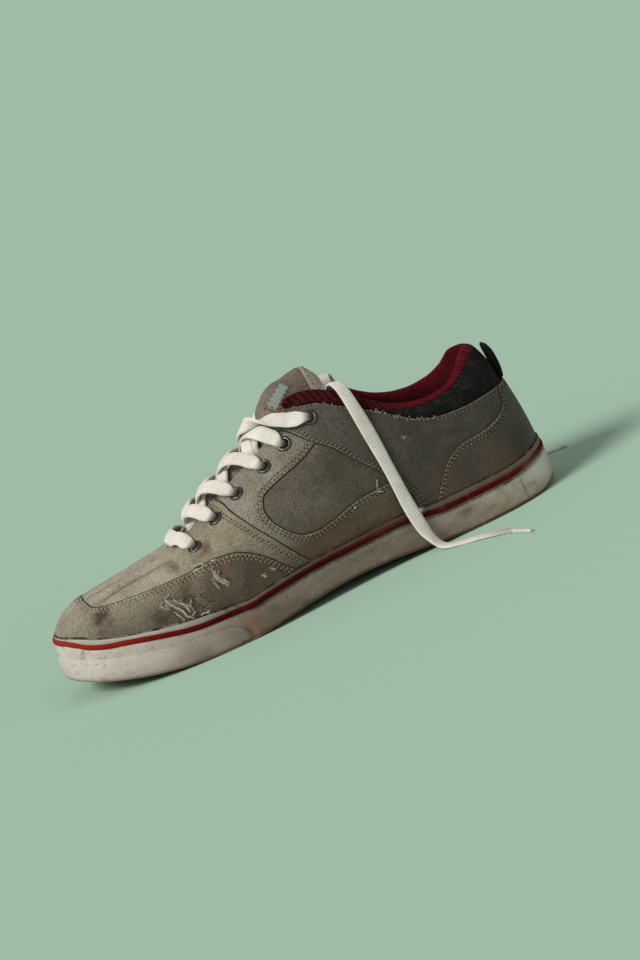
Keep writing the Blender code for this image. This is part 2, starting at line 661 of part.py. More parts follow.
def main():
    for thing in list(bpy.data.objects):
        bpy.data.objects.remove(thing)
    rubber = surface_material("white_rubber", (0.55, 0.50, 0.46), 0.6)
    gum = surface_material("sole_rubber", (0.36, 0.29, 0.24), 0.75)
    canvas = surface_material("taupe_canvas", (0.20, 0.17, 0.13), 0.95)
    foam = surface_material("insole_foam", (0.10, 0.09, 0.09), 0.95)
    padding = surface_material("collar_padding", (0.035, 0.01, 0.012), 0.9)
    webbing = surface_material("tab_webbing", (0.02, 0.02, 0.022), 0.9)
    cotton = surface_material("lace_cotton", (0.62, 0.58, 0.52), 0.9)
    metal = surface_material("eyelet_nickel", (0.30, 0.28, 0.26), 0.4, 1.0)
    plastic = surface_material("aglet_plastic", (0.70, 0.68, 0.64), 0.35)
    make_outsole(gum)
    make_foxing(rubber)
    make_toe_bumper(rubber)
    make_insole(foam)
    make_upper(canvas)
    make_collar(padding)
    make_tongue(canvas)
    make_pull_tab(webbing)
    make_eyelets(metal)
    make_laces(cotton)
    make_lace_end("lateral", LATERAL_END, cotton, plastic)
    make_lace_end("medial", MEDIAL_END, cotton, plastic)


main()
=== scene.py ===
"""A worn low-top canvas sneaker for the left foot, standing empty on its sole.

Places are (station, across, height) in millimetres: station runs from the toe tip to the heel, the outer
(lateral) side is at negative across. The upper's outside is one surface, skin(around, up, lift): around
goes 0 to 3 from the toe tip along the lateral side to the back of the heel, and on to 6 along the medial
side to the toe again. up is the share of the way from the sole to the ridge of the last.
"""
import json
import math

import bmesh
import bpy
import numpy as np
from mathutils import Matrix, Vector

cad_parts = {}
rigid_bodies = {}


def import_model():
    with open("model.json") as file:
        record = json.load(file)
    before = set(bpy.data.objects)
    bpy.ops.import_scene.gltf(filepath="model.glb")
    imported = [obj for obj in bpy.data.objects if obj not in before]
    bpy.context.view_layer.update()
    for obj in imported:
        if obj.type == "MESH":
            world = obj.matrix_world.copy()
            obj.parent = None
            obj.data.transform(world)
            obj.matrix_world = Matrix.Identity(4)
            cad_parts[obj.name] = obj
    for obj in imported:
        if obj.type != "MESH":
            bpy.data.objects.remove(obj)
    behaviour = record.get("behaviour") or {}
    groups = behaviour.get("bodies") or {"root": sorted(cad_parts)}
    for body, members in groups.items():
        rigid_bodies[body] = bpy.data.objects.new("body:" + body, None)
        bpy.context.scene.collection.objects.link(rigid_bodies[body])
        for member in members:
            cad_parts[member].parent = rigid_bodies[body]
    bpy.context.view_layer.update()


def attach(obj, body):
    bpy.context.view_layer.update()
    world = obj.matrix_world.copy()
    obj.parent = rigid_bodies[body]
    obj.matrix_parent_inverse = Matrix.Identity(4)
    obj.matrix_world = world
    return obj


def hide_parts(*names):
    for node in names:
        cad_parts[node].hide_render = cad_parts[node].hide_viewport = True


for leftover in list(bpy.data.objects):
    bpy.data.objects.remove(leftover)
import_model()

MM = 0.001
LENGTH = 300.0
MIDDLE = np.array([LENGTH / 2, 0, 0])
scene = bpy.context.scene


def place(points):
    """Places in millimetres as world metres."""
    return (np.asarray(points, float) - MIDDLE) * MM


def even(low, high, count):
    """count values from low up to, but without, high."""
    return np.linspace(low, high, count, endpoint=False)


def unit(vectors):
    vectors = np.asarray(vectors, float)
    return vectors / np.maximum(np.linalg.norm(vectors, axis=-1, keepdims=True), 1e-9)


def travelled(path):
    """Distance along a path to each of its points."""
    return np.concatenate([[0], np.cumsum(np.linalg.norm(np.diff(path, axis=0), axis=1))])


def closed_girth(ring):
    """Distance round a closed ring to each of its points and back to the first."""
    return travelled(np.vstack([ring, ring[:1]]))


def read_along(wanted, length, rows):
    """The rows of a table, one row at each value of length, read at the wanted values."""
    return np.stack([np.interp(wanted, length, column) for column in rows.T], 1)


def curve_between(a, b, c, d, t):
    """A share t of the way from b to c on a smooth curve that also runs through a and d."""
    return (2 * b + (c - a) * t + (2 * a - 5 * b + 4 * c - d) * t**2 + (3 * b - a - 3 * c + d) * t**3) / 2


def hump(value, middle, width):
    """1 at the middle, falling smoothly to 0 within about twice the width."""
    return np.exp(-(((value - middle) / width) ** 2))


def blend(low, high, value):
    """0 below low, 1 above high, and a smooth step between."""
    t = np.clip((np.asarray(value, float) - low) / (high - low), 0, 1)
    return t * t * (3 - 2 * t)


# ---------------------------------------------------------------- camera, light and floor

AIM = Vector((0, 0, 0.06))
CAMERA_AZIMUTH, CAMERA_ELEVATION, CAMERA_ROLL = (math.radians(angle) for angle in (-6, 11, 24.1))
CAMERA_DISTANCE = 2.2
VIEW_HEIGHT = 0.53963  # metres seen from top to bottom at the aim's distance
AIM_FROM_CENTRE = (-0.025295, -0.0065767)  # metres right and up of the view's middle


def make_camera():
    az, el = CAMERA_AZIMUTH, CAMERA_ELEVATION
    forward = Vector((-math.sin(az) * math.cos(el), math.cos(az) * math.cos(el), -math.sin(el)))
    right = Vector((math.cos(az), math.sin(az), 0))
    above = right.cross(forward)
    turned_right = right * math.cos(CAMERA_ROLL) - above * math.sin(CAMERA_ROLL)
    turned_up = right * math.sin(CAMERA_ROLL) + above * math.cos(CAMERA_ROLL)
    data = bpy.data.cameras.new("camera")
    data.sensor_width = 36.0
    data.lens = CAMERA_DISTANCE * data.sensor_width / VIEW_HEIGHT
    data.clip_end = 100.0
    camera = bpy.data.objects.new("camera", data)
    x, y = AIM_FROM_CENTRE
    sideways = turned_right * x + turned_up * y
    camera.matrix_world = Matrix((turned_right, turned_up, -forward)).transposed().to_4x4()
    camera.location = AIM - forward * CAMERA_DISTANCE - sideways
    scene.collection.objects.link(camera)
    scene.camera = camera


def linear(code):
    """sRGB hex as linear red, green and blue."""
    parts = [int(code[i : i + 2], 16) / 255 for i in (0, 2, 4)]
    return [c / 12.92 if c <= 0.04045 else ((c + 0.055) / 1.055) ** 2.4 for c in parts]


def main_output(value):
    """What to link from: a node stands for its first output, and a colour mix for its colour."""
    if isinstance(value, bpy.types.Node):
        value = value.outputs[2 if value.bl_idname == "ShaderNodeMix" else 0]
    return value


def add(tree, kind, settings=None, **inputs):
    """Adds a node: kind leaves out ShaderNode. settings are its own properties, or the name of its operation.
    An input is a value, a hex colour, or a node or socket to link; underscores in its name stand for spaces,
    and i0, i1 name an input by its place."""
    node = tree.nodes.new(kind if kind.startswith(("Geometry", "Function")) else "ShaderNode" + kind)
    if isinstance(settings, str):
        settings = {"operation": settings}
    for name, value in (settings or {}).items():
        setattr(node, name, value)
    for name, value in inputs.items():
        key = int(name[1:]) if name[0] == "i" and name[1:].isdigit() else name.replace("_", " ")
        socket, value = node.inputs[key], main_output(value)
        if isinstance(value, bpy.types.NodeSocket):
            tree.links.new(value, socket)
        elif isinstance(value, str) and socket.type == "RGBA":
            socket.default_value = (*linear(value), 1)
        else:
            socket.default_value = value
    return node


def make_lights():
    world = bpy.data.worlds.new("studio")
    world.use_nodes = True
    back = world.node_tree.nodes["Background"]
    back.inputs["Color"].default_value = (*linear("f4f3f0"), 1)
    back.inputs["Strength"].default_value = WORLD_LIGHT
    scene.world = world
    for name, strength, angle, direction in LAMPS:
        data = bpy.data.lights.new(name, "SUN")
        data.energy, data.angle = strength, math.radians(angle)
        lamp = bpy.data.objects.new(name, data)
        lamp.rotation_mode = "QUATERNION"
        lamp.rotation_quaternion = Vector(direction).to_track_quat("Z", "Y")
        scene.collection.objects.link(lamp)


# name, strength, angle across in degrees, direction that it stands in
LAMPS = (
    ("key", 2.5, 25, (-1.1, -0.6, 1.1)),
    ("fill", 0.3, 60, (0.6, -1.2, 0.6)),
)
WORLD_LIGHT = 0.36
FLOOR_REACH, FLOOR_DROP = 40, -0.0002  # metres


def make_floor():
    mesh = bpy.data.meshes.new("floor")
    square = ((-1, -1), (1, -1), (1, 1), (-1, 1))
    mesh.from_pydata([(x * FLOOR_REACH, y * FLOOR_REACH, FLOOR_DROP) for x, y in square], [], [(0, 1, 2, 3)])
    floor = bpy.data.objects.new("floor", mesh)
    scene.collection.objects.link(floor)
    material = bpy.data.materials.new("matt_paper_backdrop")
    material.use_nodes = True
    shader = material.node_tree.nodes["Principled BSDF"]
    shader.inputs["Base Color"].default_value = (*linear("a9c6b0"), 1)
    shader.inputs["Roughness"].default_value = 1.0
    shader.inputs["Specular IOR Level"].default_value = 0.0
    mesh.materials.append(material)


scene.view_settings.view_transform = "Standard"
make_camera()
make_lights()
make_floor()

# ---------------------------------------------------------------- the shoe's sizes, as its solids have them

BALL_STATION, BALL_HALF_WIDTH = 90.0, 53.5
HEEL_STATION, HEEL_HALF_WIDTH = 248.0, 38.9
TOE_POWER, HEEL_POWER = 2.15, 2.2
TOE_SPRING, ARCH_RISE, HEEL_ROLL = 13.7, 5.4, 5.8
ARCH_START, ARCH_END = 101.0, 242.0
CROWN_SHIFT = 0.65
OUTSOLE, TREAD = 8.7, 2.3
TONGUE_SUNK, CANVAS_THICK = 3.6, 2.0
EYELET_CUT = 2.9  # radius of the holes in the cloth
# (station, height) of the six eyelets on either side
EYELETS = ((94.0, 56.1), (111.3, 65.5), (127.6, 73.2), (147.6, 80.4), (163.2, 87.0), (182.0, 94.7))


def smooth(*rows):
    """A function of an array that joins (station, value) rows by a smooth curve with no overshoot."""
    x, y = (np.array(column, float) for column in zip(*rows))
    step = np.diff(x)
    slope = np.diff(y) / step
    tangent = np.concatenate([slope[:1], np.zeros(len(x) - 2), slope[-1:]])
    for i in range(1, len(x) - 1):
        if slope[i - 1] * slope[i] > 0:
            before, after = 2 * step[i] + step[i - 1], step[i] + 2 * step[i - 1]
            tangent[i] = (before + after) / (before / slope[i - 1] + after / slope[i])

    def value(station):
        here = np.clip(station, x[0], x[-1])
        i = np.clip(np.searchsorted(x, here) - 1, 0, len(step) - 1)
        t = (here - x[i]) / step[i]
        start = (1 + 2 * t) * (1 - t) ** 2 * y[i] + t * (1 - t) ** 2 * step[i] * tangent[i]
        return start + t * t * (3 - 2 * t) * y[i + 1] + t * t * (t - 1) * step[i] * tangent[i + 1]

    return value


# Each table below has the columns (station, value)
side_half_width = smooth(
    (90, 53.5), (105, 53), (120, 51), (140, 46.8), (160, 42.5), (180, 39.7), (200, 38.4), (220, 38.4),
    (248, 38.9),
)
centre_line = smooth(
    (0, 7), (10, 6), (30, 4.2), (60, 2.2), (90, 0.5), (105, -1), (120, -2.5), (140, -3.8), (160, -4),
    (200, -3.1), (220, -2.4), (240, -1.4), (255, -0.85), (300, 0),
)
foxing_top = smooth(
    (0, 38.9), (10, 37.6), (20, 34.6), (32, 31.7), (45, 29.4), (60, 27), (80, 24.7), (108, 22.6), (120, 23.9),
    (150, 25.8), (205, 25.8), (228, 23.9), (270, 23.8), (285, 24.8), (300, 28),
)
widest_height = smooth((4, 28), (18, 26.5), (60, 24.5), (95, 24.5), (150, 28), (200, 29), (250, 27),
                       (297, 24))
ridge = smooth(
    (4, 48), (15, 52.2), (28, 52.9), (40, 52.8), (60, 53.4), (80, 56.2), (90, 58.6), (97, 62), (112, 71.2),
    (131, 81), (148, 90), (160, 98), (172, 108), (180, 117), (190, 124), (200, 128), (215, 131), (235, 127),
    (255, 125), (300, 130),
)
roundness = smooth((90, 2.5), (120, 2.3), (160, 2.1), (210, 2.0), (248, 1.9))
throat_half_gap = smooth((90, 5.5), (100, 8), (120, 11), (150, 14), (166, 16), (180, 18))
canvas_top = smooth(
    (168, 104), (178, 102.4), (188, 100.8), (198, 95), (208, 88.4), (218, 82.4), (228, 74.5), (238, 68.7),
    (248, 65.7), (258, 64.7), (268, 64.2), (292, 64.5),
)
collar_top = smooth(
    (170, 106.5), (178, 109.3), (188, 108.2), (198, 103.9), (208, 97.8), (218, 88.7), (228, 82.3),
    (238, 78.8), (248, 77.5), (258, 78.5), (268, 82), (273, 85), (280, 89), (287, 90.5),
)
tongue_ridge = smooth(
    (82, 51.5), (90, 56.5), (97, 64), (112, 74.5), (131, 83.5), (148, 93), (160, 102), (167, 109),
    (175, 115.5), (182, 118), (189, 118.9), (194, 116.8), (198, 112),
)
tongue_half_width = smooth(
    (82, 18), (100, 20), (150, 20.5), (162, 17.5), (169, 13.9), (176, 12.6), (190, 13.4), (198, 12.6),
)
tongue_thickness = smooth((82, 1.8), (90, 2.2), (105, 4), (150, 5), (185, 7), (194, 6), (198, 3.5))


def underside(station):
    station = np.asarray(station, float)
    toe = TOE_SPRING * (np.clip(88 - np.maximum(station, 0), 0, None) / 88) ** 1.9
    share = np.clip((station - ARCH_START) / (ARCH_END - ARCH_START), 0, 1)
    arch = ARCH_RISE * np.clip(np.sin(np.pi * share**0.88), 0, None) ** 1.45
    return toe + arch + HEEL_ROLL * (np.clip(station - 284, 0, None) / 16) ** 2


def side_and_way(around):
    around = np.mod(around, 6)
    return np.where(around < 3, -1.0, 1.0), np.where(around < 3, around, 6 - around)


def edge_point(side, way):
    """The sole's outline: way is 0 at the toe tip, 1 at the ball, 2 at the heel's start and 3 at the back."""
    toe = np.clip(way, 0, 1) * np.pi / 2
    heel = (3 - np.clip(way, 2, 3)) * np.pi / 2
    flat = BALL_STATION + (HEEL_STATION - BALL_STATION) * (way - 1)
    cos_toe, cos_heel = (np.clip(np.cos(a), 0, 1) for a in (toe, heel))
    toe_s = BALL_STATION * (1 - cos_toe ** (2 / TOE_POWER))
    heel_s = HEEL_STATION + (LENGTH - HEEL_STATION) * cos_heel ** (2 / HEEL_POWER)
    station = np.where(way <= 1, toe_s, np.where(way < 2, flat, heel_s))
    toe_half = BALL_HALF_WIDTH * np.sin(toe) ** (2 / TOE_POWER)
    heel_half = HEEL_HALF_WIDTH * np.sin(heel) ** (2 / HEEL_POWER)
    half = np.where(way <= 1, toe_half, np.where(way < 2, side_half_width(station), heel_half))
    return station, centre_line(station) + side * half


def outline(around, inset):
    """The sole's outline moved inwards by inset, at right angles to itself."""
    side, way = side_and_way(around)
    ways = (way, np.maximum(way - 0.01, 0), np.minimum(way + 0.01, 3))
    here, near, far = (edge_point(side, w) for w in ways)
    along = np.stack([far[0] - near[0], far[1] - near[1]])
    at_end = (way < 1e-6) | (way > 3 - 1e-6)
    along = np.where(at_end, np.stack([0 * way, np.where(way < 1, side, -side)]), along)
    along = along / np.linalg.norm(along, axis=0)
    return here[0] + along[1] * side * inset, here[1] - along[0] * side * inset


def bumper_step(station):
    return 1.5 * np.clip((106 - station) / 4, 0, 1)


def upper_inset(station):
    return 3.0 + 0.8 * bumper_step(station)


# ---------------------------------------------------------------- the upper's surface as one fine grid

WAYS = np.concatenate([even(0, 1, 80), even(1, 2, 110), even(2, 3, 56)])
AROUND = np.concatenate([WAYS, [3.0], 6 - WAYS[::-1]])
UP_ROWS = 161


def rib(around):
    """Points up one rib of the upper's outside, from the sole to the ridge of the last."""
    side, way = side_and_way(around)
    station, _ = edge_point(side, way)
    foot, across = outline(around, upper_inset(station))
    across = across - centre_line(foot)
    pivot = BALL_STATION if way < 1 else HEEL_STATION if way > 2 else foot
    power = roundness(foot) + (1.0 * math.cos(way * math.pi / 2) ** 2 if way < 1 else 0)
    low, wide = underside(foot) + OUTSOLE + 0.3, widest_height(foot)
    rise = np.linspace(0, 1, 7)[:-1]
    wall = np.stack([foot + 0 * rise, across + centre_line(foot) + 0 * rise, low + (wide - low) * rise], 1)
    angle = np.linspace(0, np.pi / 2, 240)
    in_by, up_by = np.clip(np.cos(angle), 0, 1) ** (2 / power), np.sin(angle) ** (2 / power)
    s = pivot + (foot - pivot) * in_by
    y = across * in_by + centre_line(s) * (1 - CROWN_SHIFT * up_by**2)
    arch = np.stack([s, y, wide + (ridge(s) - wide) * up_by], 1)
    return np.concatenate([wall, arch])


def even_rows(points, count):
    """count points spaced evenly along a run of points."""
    length = travelled(points)
    return read_along(np.linspace(0, length[-1], count), length, points)


GRID = np.array([even_rows(rib(a), UP_ROWS) for a in AROUND[:-1]])
GRID = np.concatenate([GRID, GRID[:1]])


def grid_normals(grid):
    around = np.roll(grid[:-1], -1, 0) - np.roll(grid[:-1], 1, 0)
    up = np.gradient(grid[:-1], axis=1)
    normal = np.cross(up, around)
    normal /= np.maximum(np.linalg.norm(normal, axis=2, keepdims=True), 1e-9)
    return np.concatenate([normal, normal[:1]])


NORMAL = grid_normals(GRID)
if NORMAL[150, 20, 1] > 0:
    NORMAL = -NORMAL


def sample(table, around, up):
    """Bilinear look-up of a table over (around, up)."""
    i = np.interp(np.mod(around, 6), AROUND, np.arange(len(AROUND)))
    j = np.clip(up, 0, 1) * (UP_ROWS - 1)
    i0, j0 = np.minimum(i.astype(int), len(AROUND) - 2), np.minimum(j.astype(int), UP_ROWS - 2)
    a, b = (i - i0)[..., None], (j - j0)[..., None]
    low = table[i0, j0] * (1 - a) + table[i0 + 1, j0] * a
    high = table[i0, j0 + 1] * (1 - a) + table[i0 + 1, j0 + 1] * a
    return low * (1 - b) + high * b


UPS = np.linspace(0, 1, UP_ROWS)


def column_up(column, height):
    """The share up one rib of the grid at a height."""
    return np.interp(height, np.maximum.accumulate(GRID[column, :, 2]), UPS)


def open_end(column):
    """The share up a rib at which the throat's edge or the canvas top line cuts it."""
    points = GRID[column]
    _, way = side_and_way(AROUND[column])
    middle = (1 - CROWN_SHIFT) * centre_line(points[:, 0])
    if way < 1:
        reach = np.hypot(points[:, 0] - BALL_STATION, points[:, 1] - middle) - throat_half_gap(BALL_STATION)
    else:
        reach = np.abs(points[:, 1] - middle) - throat_half_gap(points[:, 0])
        below = canvas_top(points[:, 0]) - points[:, 2]
        reach = below if way > 1.8 else np.minimum(reach, below) if way > 1.3 else reach
    last = int(np.argmax(reach < 0))
    return (last - 1 + reach[last - 1] / (reach[last - 1] - reach[last])) / (UP_ROWS - 1)


END_UPS = np.array([open_end(c) for c in range(len(AROUND))])
FOOT_UPS = np.array([column_up(c, foxing_top(GRID[c, 0, 0]) - 4) for c in range(len(AROUND))])


def end_up(around):
    return np.interp(np.mod(around, 6), AROUND, END_UPS)


def foot_up(around):
    return np.interp(np.mod(around, 6), AROUND, FOOT_UPS)


def side_columns(side):
    """The grid's ribs on one side of the shoe."""
    return np.flatnonzero(AROUND <= 3 if side < 0 else AROUND >= 3)


def locate(side, station, height):
    """(around, up) of the place on one side of the upper at a station and a height."""
    columns = side_columns(side)
    ups = np.array([column_up(c, height) for c in columns])
    stations = sample(GRID, AROUND[columns], ups)[:, 0]
    order = np.argsort(AROUND[columns] * -side)
    around = np.interp(station, np.maximum.accumulate(stations[order]), AROUND[columns][order])
    return around, np.interp(around, AROUND[columns], ups)


def rounded(points, count):
    """count evenly spaced places on a smooth curve through the points."""
    points = np.asarray(points, float)
    p = np.vstack([2 * points[0] - points[1], points, 2 * points[-1] - points[-2]])
    t = even(0, 1, 16)[:, None]
    dense = []
    for a, b, c, d in zip(p, p[1:], p[2:], p[3:]):
        dense.append(curve_between(a, b, c, d, t))
    return even_rows(np.vstack([*dense, p[-2:-1]]), count)


def pin(side, target, axes=(0, 2)):
    """(around, up) of the place on one side whose coordinates along two axes are the target's."""
    columns = side_columns(side)
    table = GRID[columns][..., list(axes)]
    if axes == (0, 1):
        table = table[:, UP_ROWS // 4 :]
    target = np.asarray(target, float)
    i, j = np.unravel_index(np.argmin(((table - target) ** 2).sum(2)), table.shape[:2])
    i, j = min(max(i, 1), len(columns) - 2), min(max(j, 1), table.shape[1] - 2)
    step = np.stack([(table[i + 1, j] - table[i - 1, j]) / 2, (table[i, j + 1] - table[i, j - 1]) / 2], 1)
    move = np.clip(np.linalg.lstsq(step, target - table[i, j], rcond=None)[0], -1.5, 1.5)
    around = np.interp(i + move[0], np.arange(len(columns)), AROUND[columns])
    return around, (j + move[1] + (UP_ROWS // 4 if axes == (0, 1) else 0)) / (UP_ROWS - 1)


def surface_point(side, station, height, by_across=None):
    """A place on the upper by its height or, with a third value, by its distance from the middle."""
    if by_across is None:
        around, up = locate(side, station, height)
    else:
        around, up = pin(side, (station, centre_line(station) + side * by_across), (0, 1))
    return sample(GRID, around, min(up, end_up(around)))


def distance_to_line(places, line):
    """Distance from each place to a polyline, and how far along it in 0 to 1."""
    best, along = np.full(places.shape[:-1], 1e9), np.zeros(places.shape[:-1])
    count = len(line) - 1
    for k, (a, b) in enumerate(zip(line, line[1:])):
        ab = b - a
        t = np.clip(((places - a) @ ab) / max(ab @ ab, 1e-9), 0, 1)
        far = np.linalg.norm(places - a - t[..., None] * ab, axis=-1)
        nearer = far < best
        best, along = np.where(nearer, far, best), np.where(nearer, (k + t) / count, along)
    return best, along


# Soft folds of the worn canvas: side, points as surface_point takes them, half width, and height, which
# sinks in where it is less than 0
FOLDS = (
    (-1, ((30, 0, 14.5), (42, 0, 14.5), (56, 0, 15), (72, 0, 16), (88, 0, 19)), 1.9, 1.7),
    (-1, ((29, 0, 7), (42, 0, 6), (58, 0, 7.5), (72, 0, 9)), 2.2, -1.5),
    (-1, ((29.5, 0, 22), (36, 0, 22.5), (50, 0, 21), (66, 0, 21), (80, 0, 24)), 2.2, -1.6),
    (-1, ((42, 0, 26), (58, 0, 27.5), (76, 0, 27)), 2.4, 1.2),
    (-1, ((76, 0, 20), (79, 0, 30), (80, 48)), 2.6, -1.4),
    (-1, ((85, 0, 20), (88, 0, 31), (89, 48)), 2.8, 1.3),
    (-1, ((96, 0, 26), (99, 0, 34), (100, 49)), 2.8, -1.1),
    (-1, ((72, 30), (78, 38), (83, 46)), 4, -1.3),
    (-1, ((84, 30), (88, 38), (90, 46)), 3.5, 1.0),
    (-1, ((96, 28), (100, 38), (103, 47)), 4, -1.2),
    (-1, ((106, 26), (110, 34), (112, 42)), 3.5, 0.9),
    (-1, ((88, 50), (96, 53), (104, 60)), 3, -0.9),
    (-1, ((60, 30), (62, 38), (58, 44)), 5, 0.9),
    (-1, ((26, 40), (33, 44), (38, 47)), 4, -1.2),
    (-1, ((118, 48), (121, 56), (118, 64)), 3.5, 1.0),
    (-1, ((222, 74), (232, 60), (243, 50)), 6, -1.4),
    (-1, ((200, 88), (206, 76), (214, 66)), 7, 1.3),
    (-1, ((228, 58), (246, 58), (262, 56)), 3, 0.7),
    (-1, ((222, 46), (234, 48), (246, 54)), 4, -0.7),
    (-1, ((160, 70), (172, 58), (180, 46)), 9, 1.4),
    (-1, ((145, 62), (150, 52), (158, 44)), 5, -0.9),
    (-1, ((150, 33), (170, 34), (200, 33)), 4, -0.7),
    (1, ((40, 52), (60, 53), (80, 56)), 3, 1.3),
    (1, ((44, 49), (62, 50), (84, 52)), 2.5, -1.0),
    (1, ((76, 30), (82, 42), (86, 50)), 4, -1.3),
    (1, ((98, 30), (100, 44), (104, 54)), 4, 1.0),
    (1, ((222, 74), (232, 60), (243, 50)), 6, -1.3),
    (1, ((158, 74), (172, 58), (182, 40)), 8, -1.2),
    (1, ((200, 86), (206, 74), (212, 60)), 6, 1.0),
)
FOLD_LINES = [
    (rounded(np.array([surface_point(side, *spot) for spot in points]), 9), width, height)
    for side, points, width, height in FOLDS
]


def folds(places):
    """How far the canvas stands off its plain surface."""
    relief = np.zeros(places.shape[:-1])
    for line, width, height in FOLD_LINES:
        far, along = distance_to_line(places, line)
        relief += height * hump(far, 0, width) * np.sin(np.pi * np.clip(along, 0.04, 0.96)) ** 0.6
    return relief * blend(14, 34, places[..., 2])


def skin(around, up, lift=0.0):
    """Places on the upper's outside, lifted off it."""
    base = sample(GRID, around, up)
    return base + sample(NORMAL, around, up) * (lift + folds(base))[..., None]


# ---------------------------------------------------------------- meshes over grids

def sole_ring(count_toe=60, count_side=70, count_heel=40):
    """Values of around once round the shoe, evenly enough for a smooth outline."""
    ways = np.concatenate([even(0, 1, count_toe), even(1, 2, count_side), even(2, 3, count_heel)])
    return np.concatenate([ways, [3.0], 6 - ways[:0:-1]])


def write_vectors(mesh, key, rows):
    """Notes three numbers at each point of a mesh."""
    attribute = mesh.attributes.new(key, "FLOAT_VECTOR", "POINT")
    attribute.data.foreach_set("vector", rows.reshape(-1, 3).astype(np.float32).ravel())


def write_uv(mesh, rows):
    mesh.uv_layers["cloth"].data.foreach_set("uv", rows.astype(np.float32).ravel())


def crossed_uv(along, girth):
    """UVs in millimetres, from distances along a grid's rows and across them."""
    return np.stack(np.broadcast_arrays(along[:, None], girth), 2)


def grid_piece(name, grid, finishes, wrap=(False, False), uv=None, finish_of=None, marks=None, caps=False):
    """A mesh over a grid of places. wrap says in which directions it closes on itself. uv has one more row
    or column than the grid where it wraps. finish_of gives each cell's finish, marks each place's wear."""
    nu, nv = grid.shape[:2]
    cu, cv = nu - (not wrap[0]), nv - (not wrap[1])
    i, j = (k.ravel() for k in np.meshgrid(np.arange(cu), np.arange(cv), indexing="ij"))
    corners = [(i, j), (i + 1, j), (i + 1, j + 1), (i, j + 1)]
    faces = np.stack([a % nu * nv + b % nv for a, b in corners], 1)
    mesh = bpy.data.meshes.new(name)
    end_faces = [list(range(nv)), list(range((nu - 1) * nv, nu * nv))] if caps else []
    mesh.from_pydata(place(grid).reshape(-1, 3).tolist(), [], faces.tolist() + end_faces)
    for finish in finishes:
        mesh.materials.append(finish)
    if finish_of is not None:
        cells = np.concatenate([np.asarray(finish_of, int).ravel(), np.zeros(len(end_faces), int)])
        mesh.polygons.foreach_set("material_index", cells.astype(np.int32))
    mesh.uv_layers.new(name="cloth")
    if uv is not None:
        flat = np.stack([uv[a, b] for a, b in corners], 1).reshape(-1, 2)
        write_uv(mesh, np.concatenate([flat, np.zeros((len(mesh.loops) - len(flat), 2))]))
    if marks is not None:
        write_vectors(mesh, "wear", marks)
    return settle(name, mesh)


def settle(name, mesh, join=2e-6):
    """Merges what touches, turns faces outwards, shades smooth and links the piece."""
    tidy = bmesh.new()
    tidy.from_mesh(mesh)
    bmesh.ops.remove_doubles(tidy, verts=tidy.verts, dist=join)
    bmesh.ops.dissolve_degenerate(tidy, edges=tidy.edges, dist=1e-7)
    bmesh.ops.recalc_face_normals(tidy, faces=tidy.faces)
    tidy.to_mesh(mesh)
    tidy.free()
    mesh.shade_smooth()
    mesh.set_sharp_from_angle(angle=math.radians(50))
    piece = bpy.data.objects.new(name, mesh)
    scene.collection.objects.link(piece)
    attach(piece, "root")
    return piece


# ---------------------------------------------------------------- finishes

# Settings that many nodes share
HUES, TINT = {"data_type": "RGBA"}, {"data_type": "RGBA", "blend_type": "MULTIPLY"}
CLAMPED = {"operation": "MULTIPLY", "use_clamp": True}
CLAMPED_SUM = {"operation": "MULTIPLY_ADD", "use_clamp": True}


def new_finish(name, roughness, **sockets):
    """A material, its nodes and its coordinates; the numbers given here hold all over it."""
    material = bpy.data.materials.new(name)
    material.use_nodes = True
    shader = material.node_tree.nodes["Principled BSDF"]
    shader.inputs["Roughness"].default_value = roughness
    for key, value in sockets.items():
        shader.inputs[key.replace("_", " ")].default_value = value
    return material, material.node_tree, add(material.node_tree, "TexCoord").outputs


def finished(material, colour, height, distance, strength, rough=None):
    """Gives a finish its colour and its relief, distance metres high at strength 1."""
    tree = material.node_tree
    relief = add(tree, "Bump", Height=height, Distance=distance, Strength=strength)
    for value, goal in ((colour, "Base Color"), (rough, "Roughness"), (relief, "Normal")):
        if value:
            tree.links.new(main_output(value), tree.nodes["Principled BSDF"].inputs[goal])
    return material


def wear_channels(tree):
    """What a piece's mesh says of its wear: dirt, bared thread and stain, which on some pieces also carry
    painted shade and painted highlights.
    """
    marks = add(tree, "Attribute", {"attribute_name": "wear"})
    return add(tree, "SeparateXYZ", Vector=marks.outputs["Vector"]).outputs


def painted_light_and_soil_along_shoe(tree, axes, stops):
    """A tint that changes from toe to heel, partly painted light that is brightest at the toe and falls off
    towards the heel, partly soil: stops are (station, sRGB hex).
    """
    share = add(tree, "MapRange", Value=axes[0], i1=-LENGTH / 2 * MM, i2=LENGTH / 2 * MM)
    ramp = add(tree, "ValToRGB", i0=share)
    ramp.color_ramp.interpolation = "EASE"
    elements = ramp.color_ramp.elements
    while len(elements) < len(stops):
        elements.new(0.5)
    for element, (station, hue) in zip(elements, stops):
        element.position, element.color = station / LENGTH, (*linear(hue), 1)
    return ramp


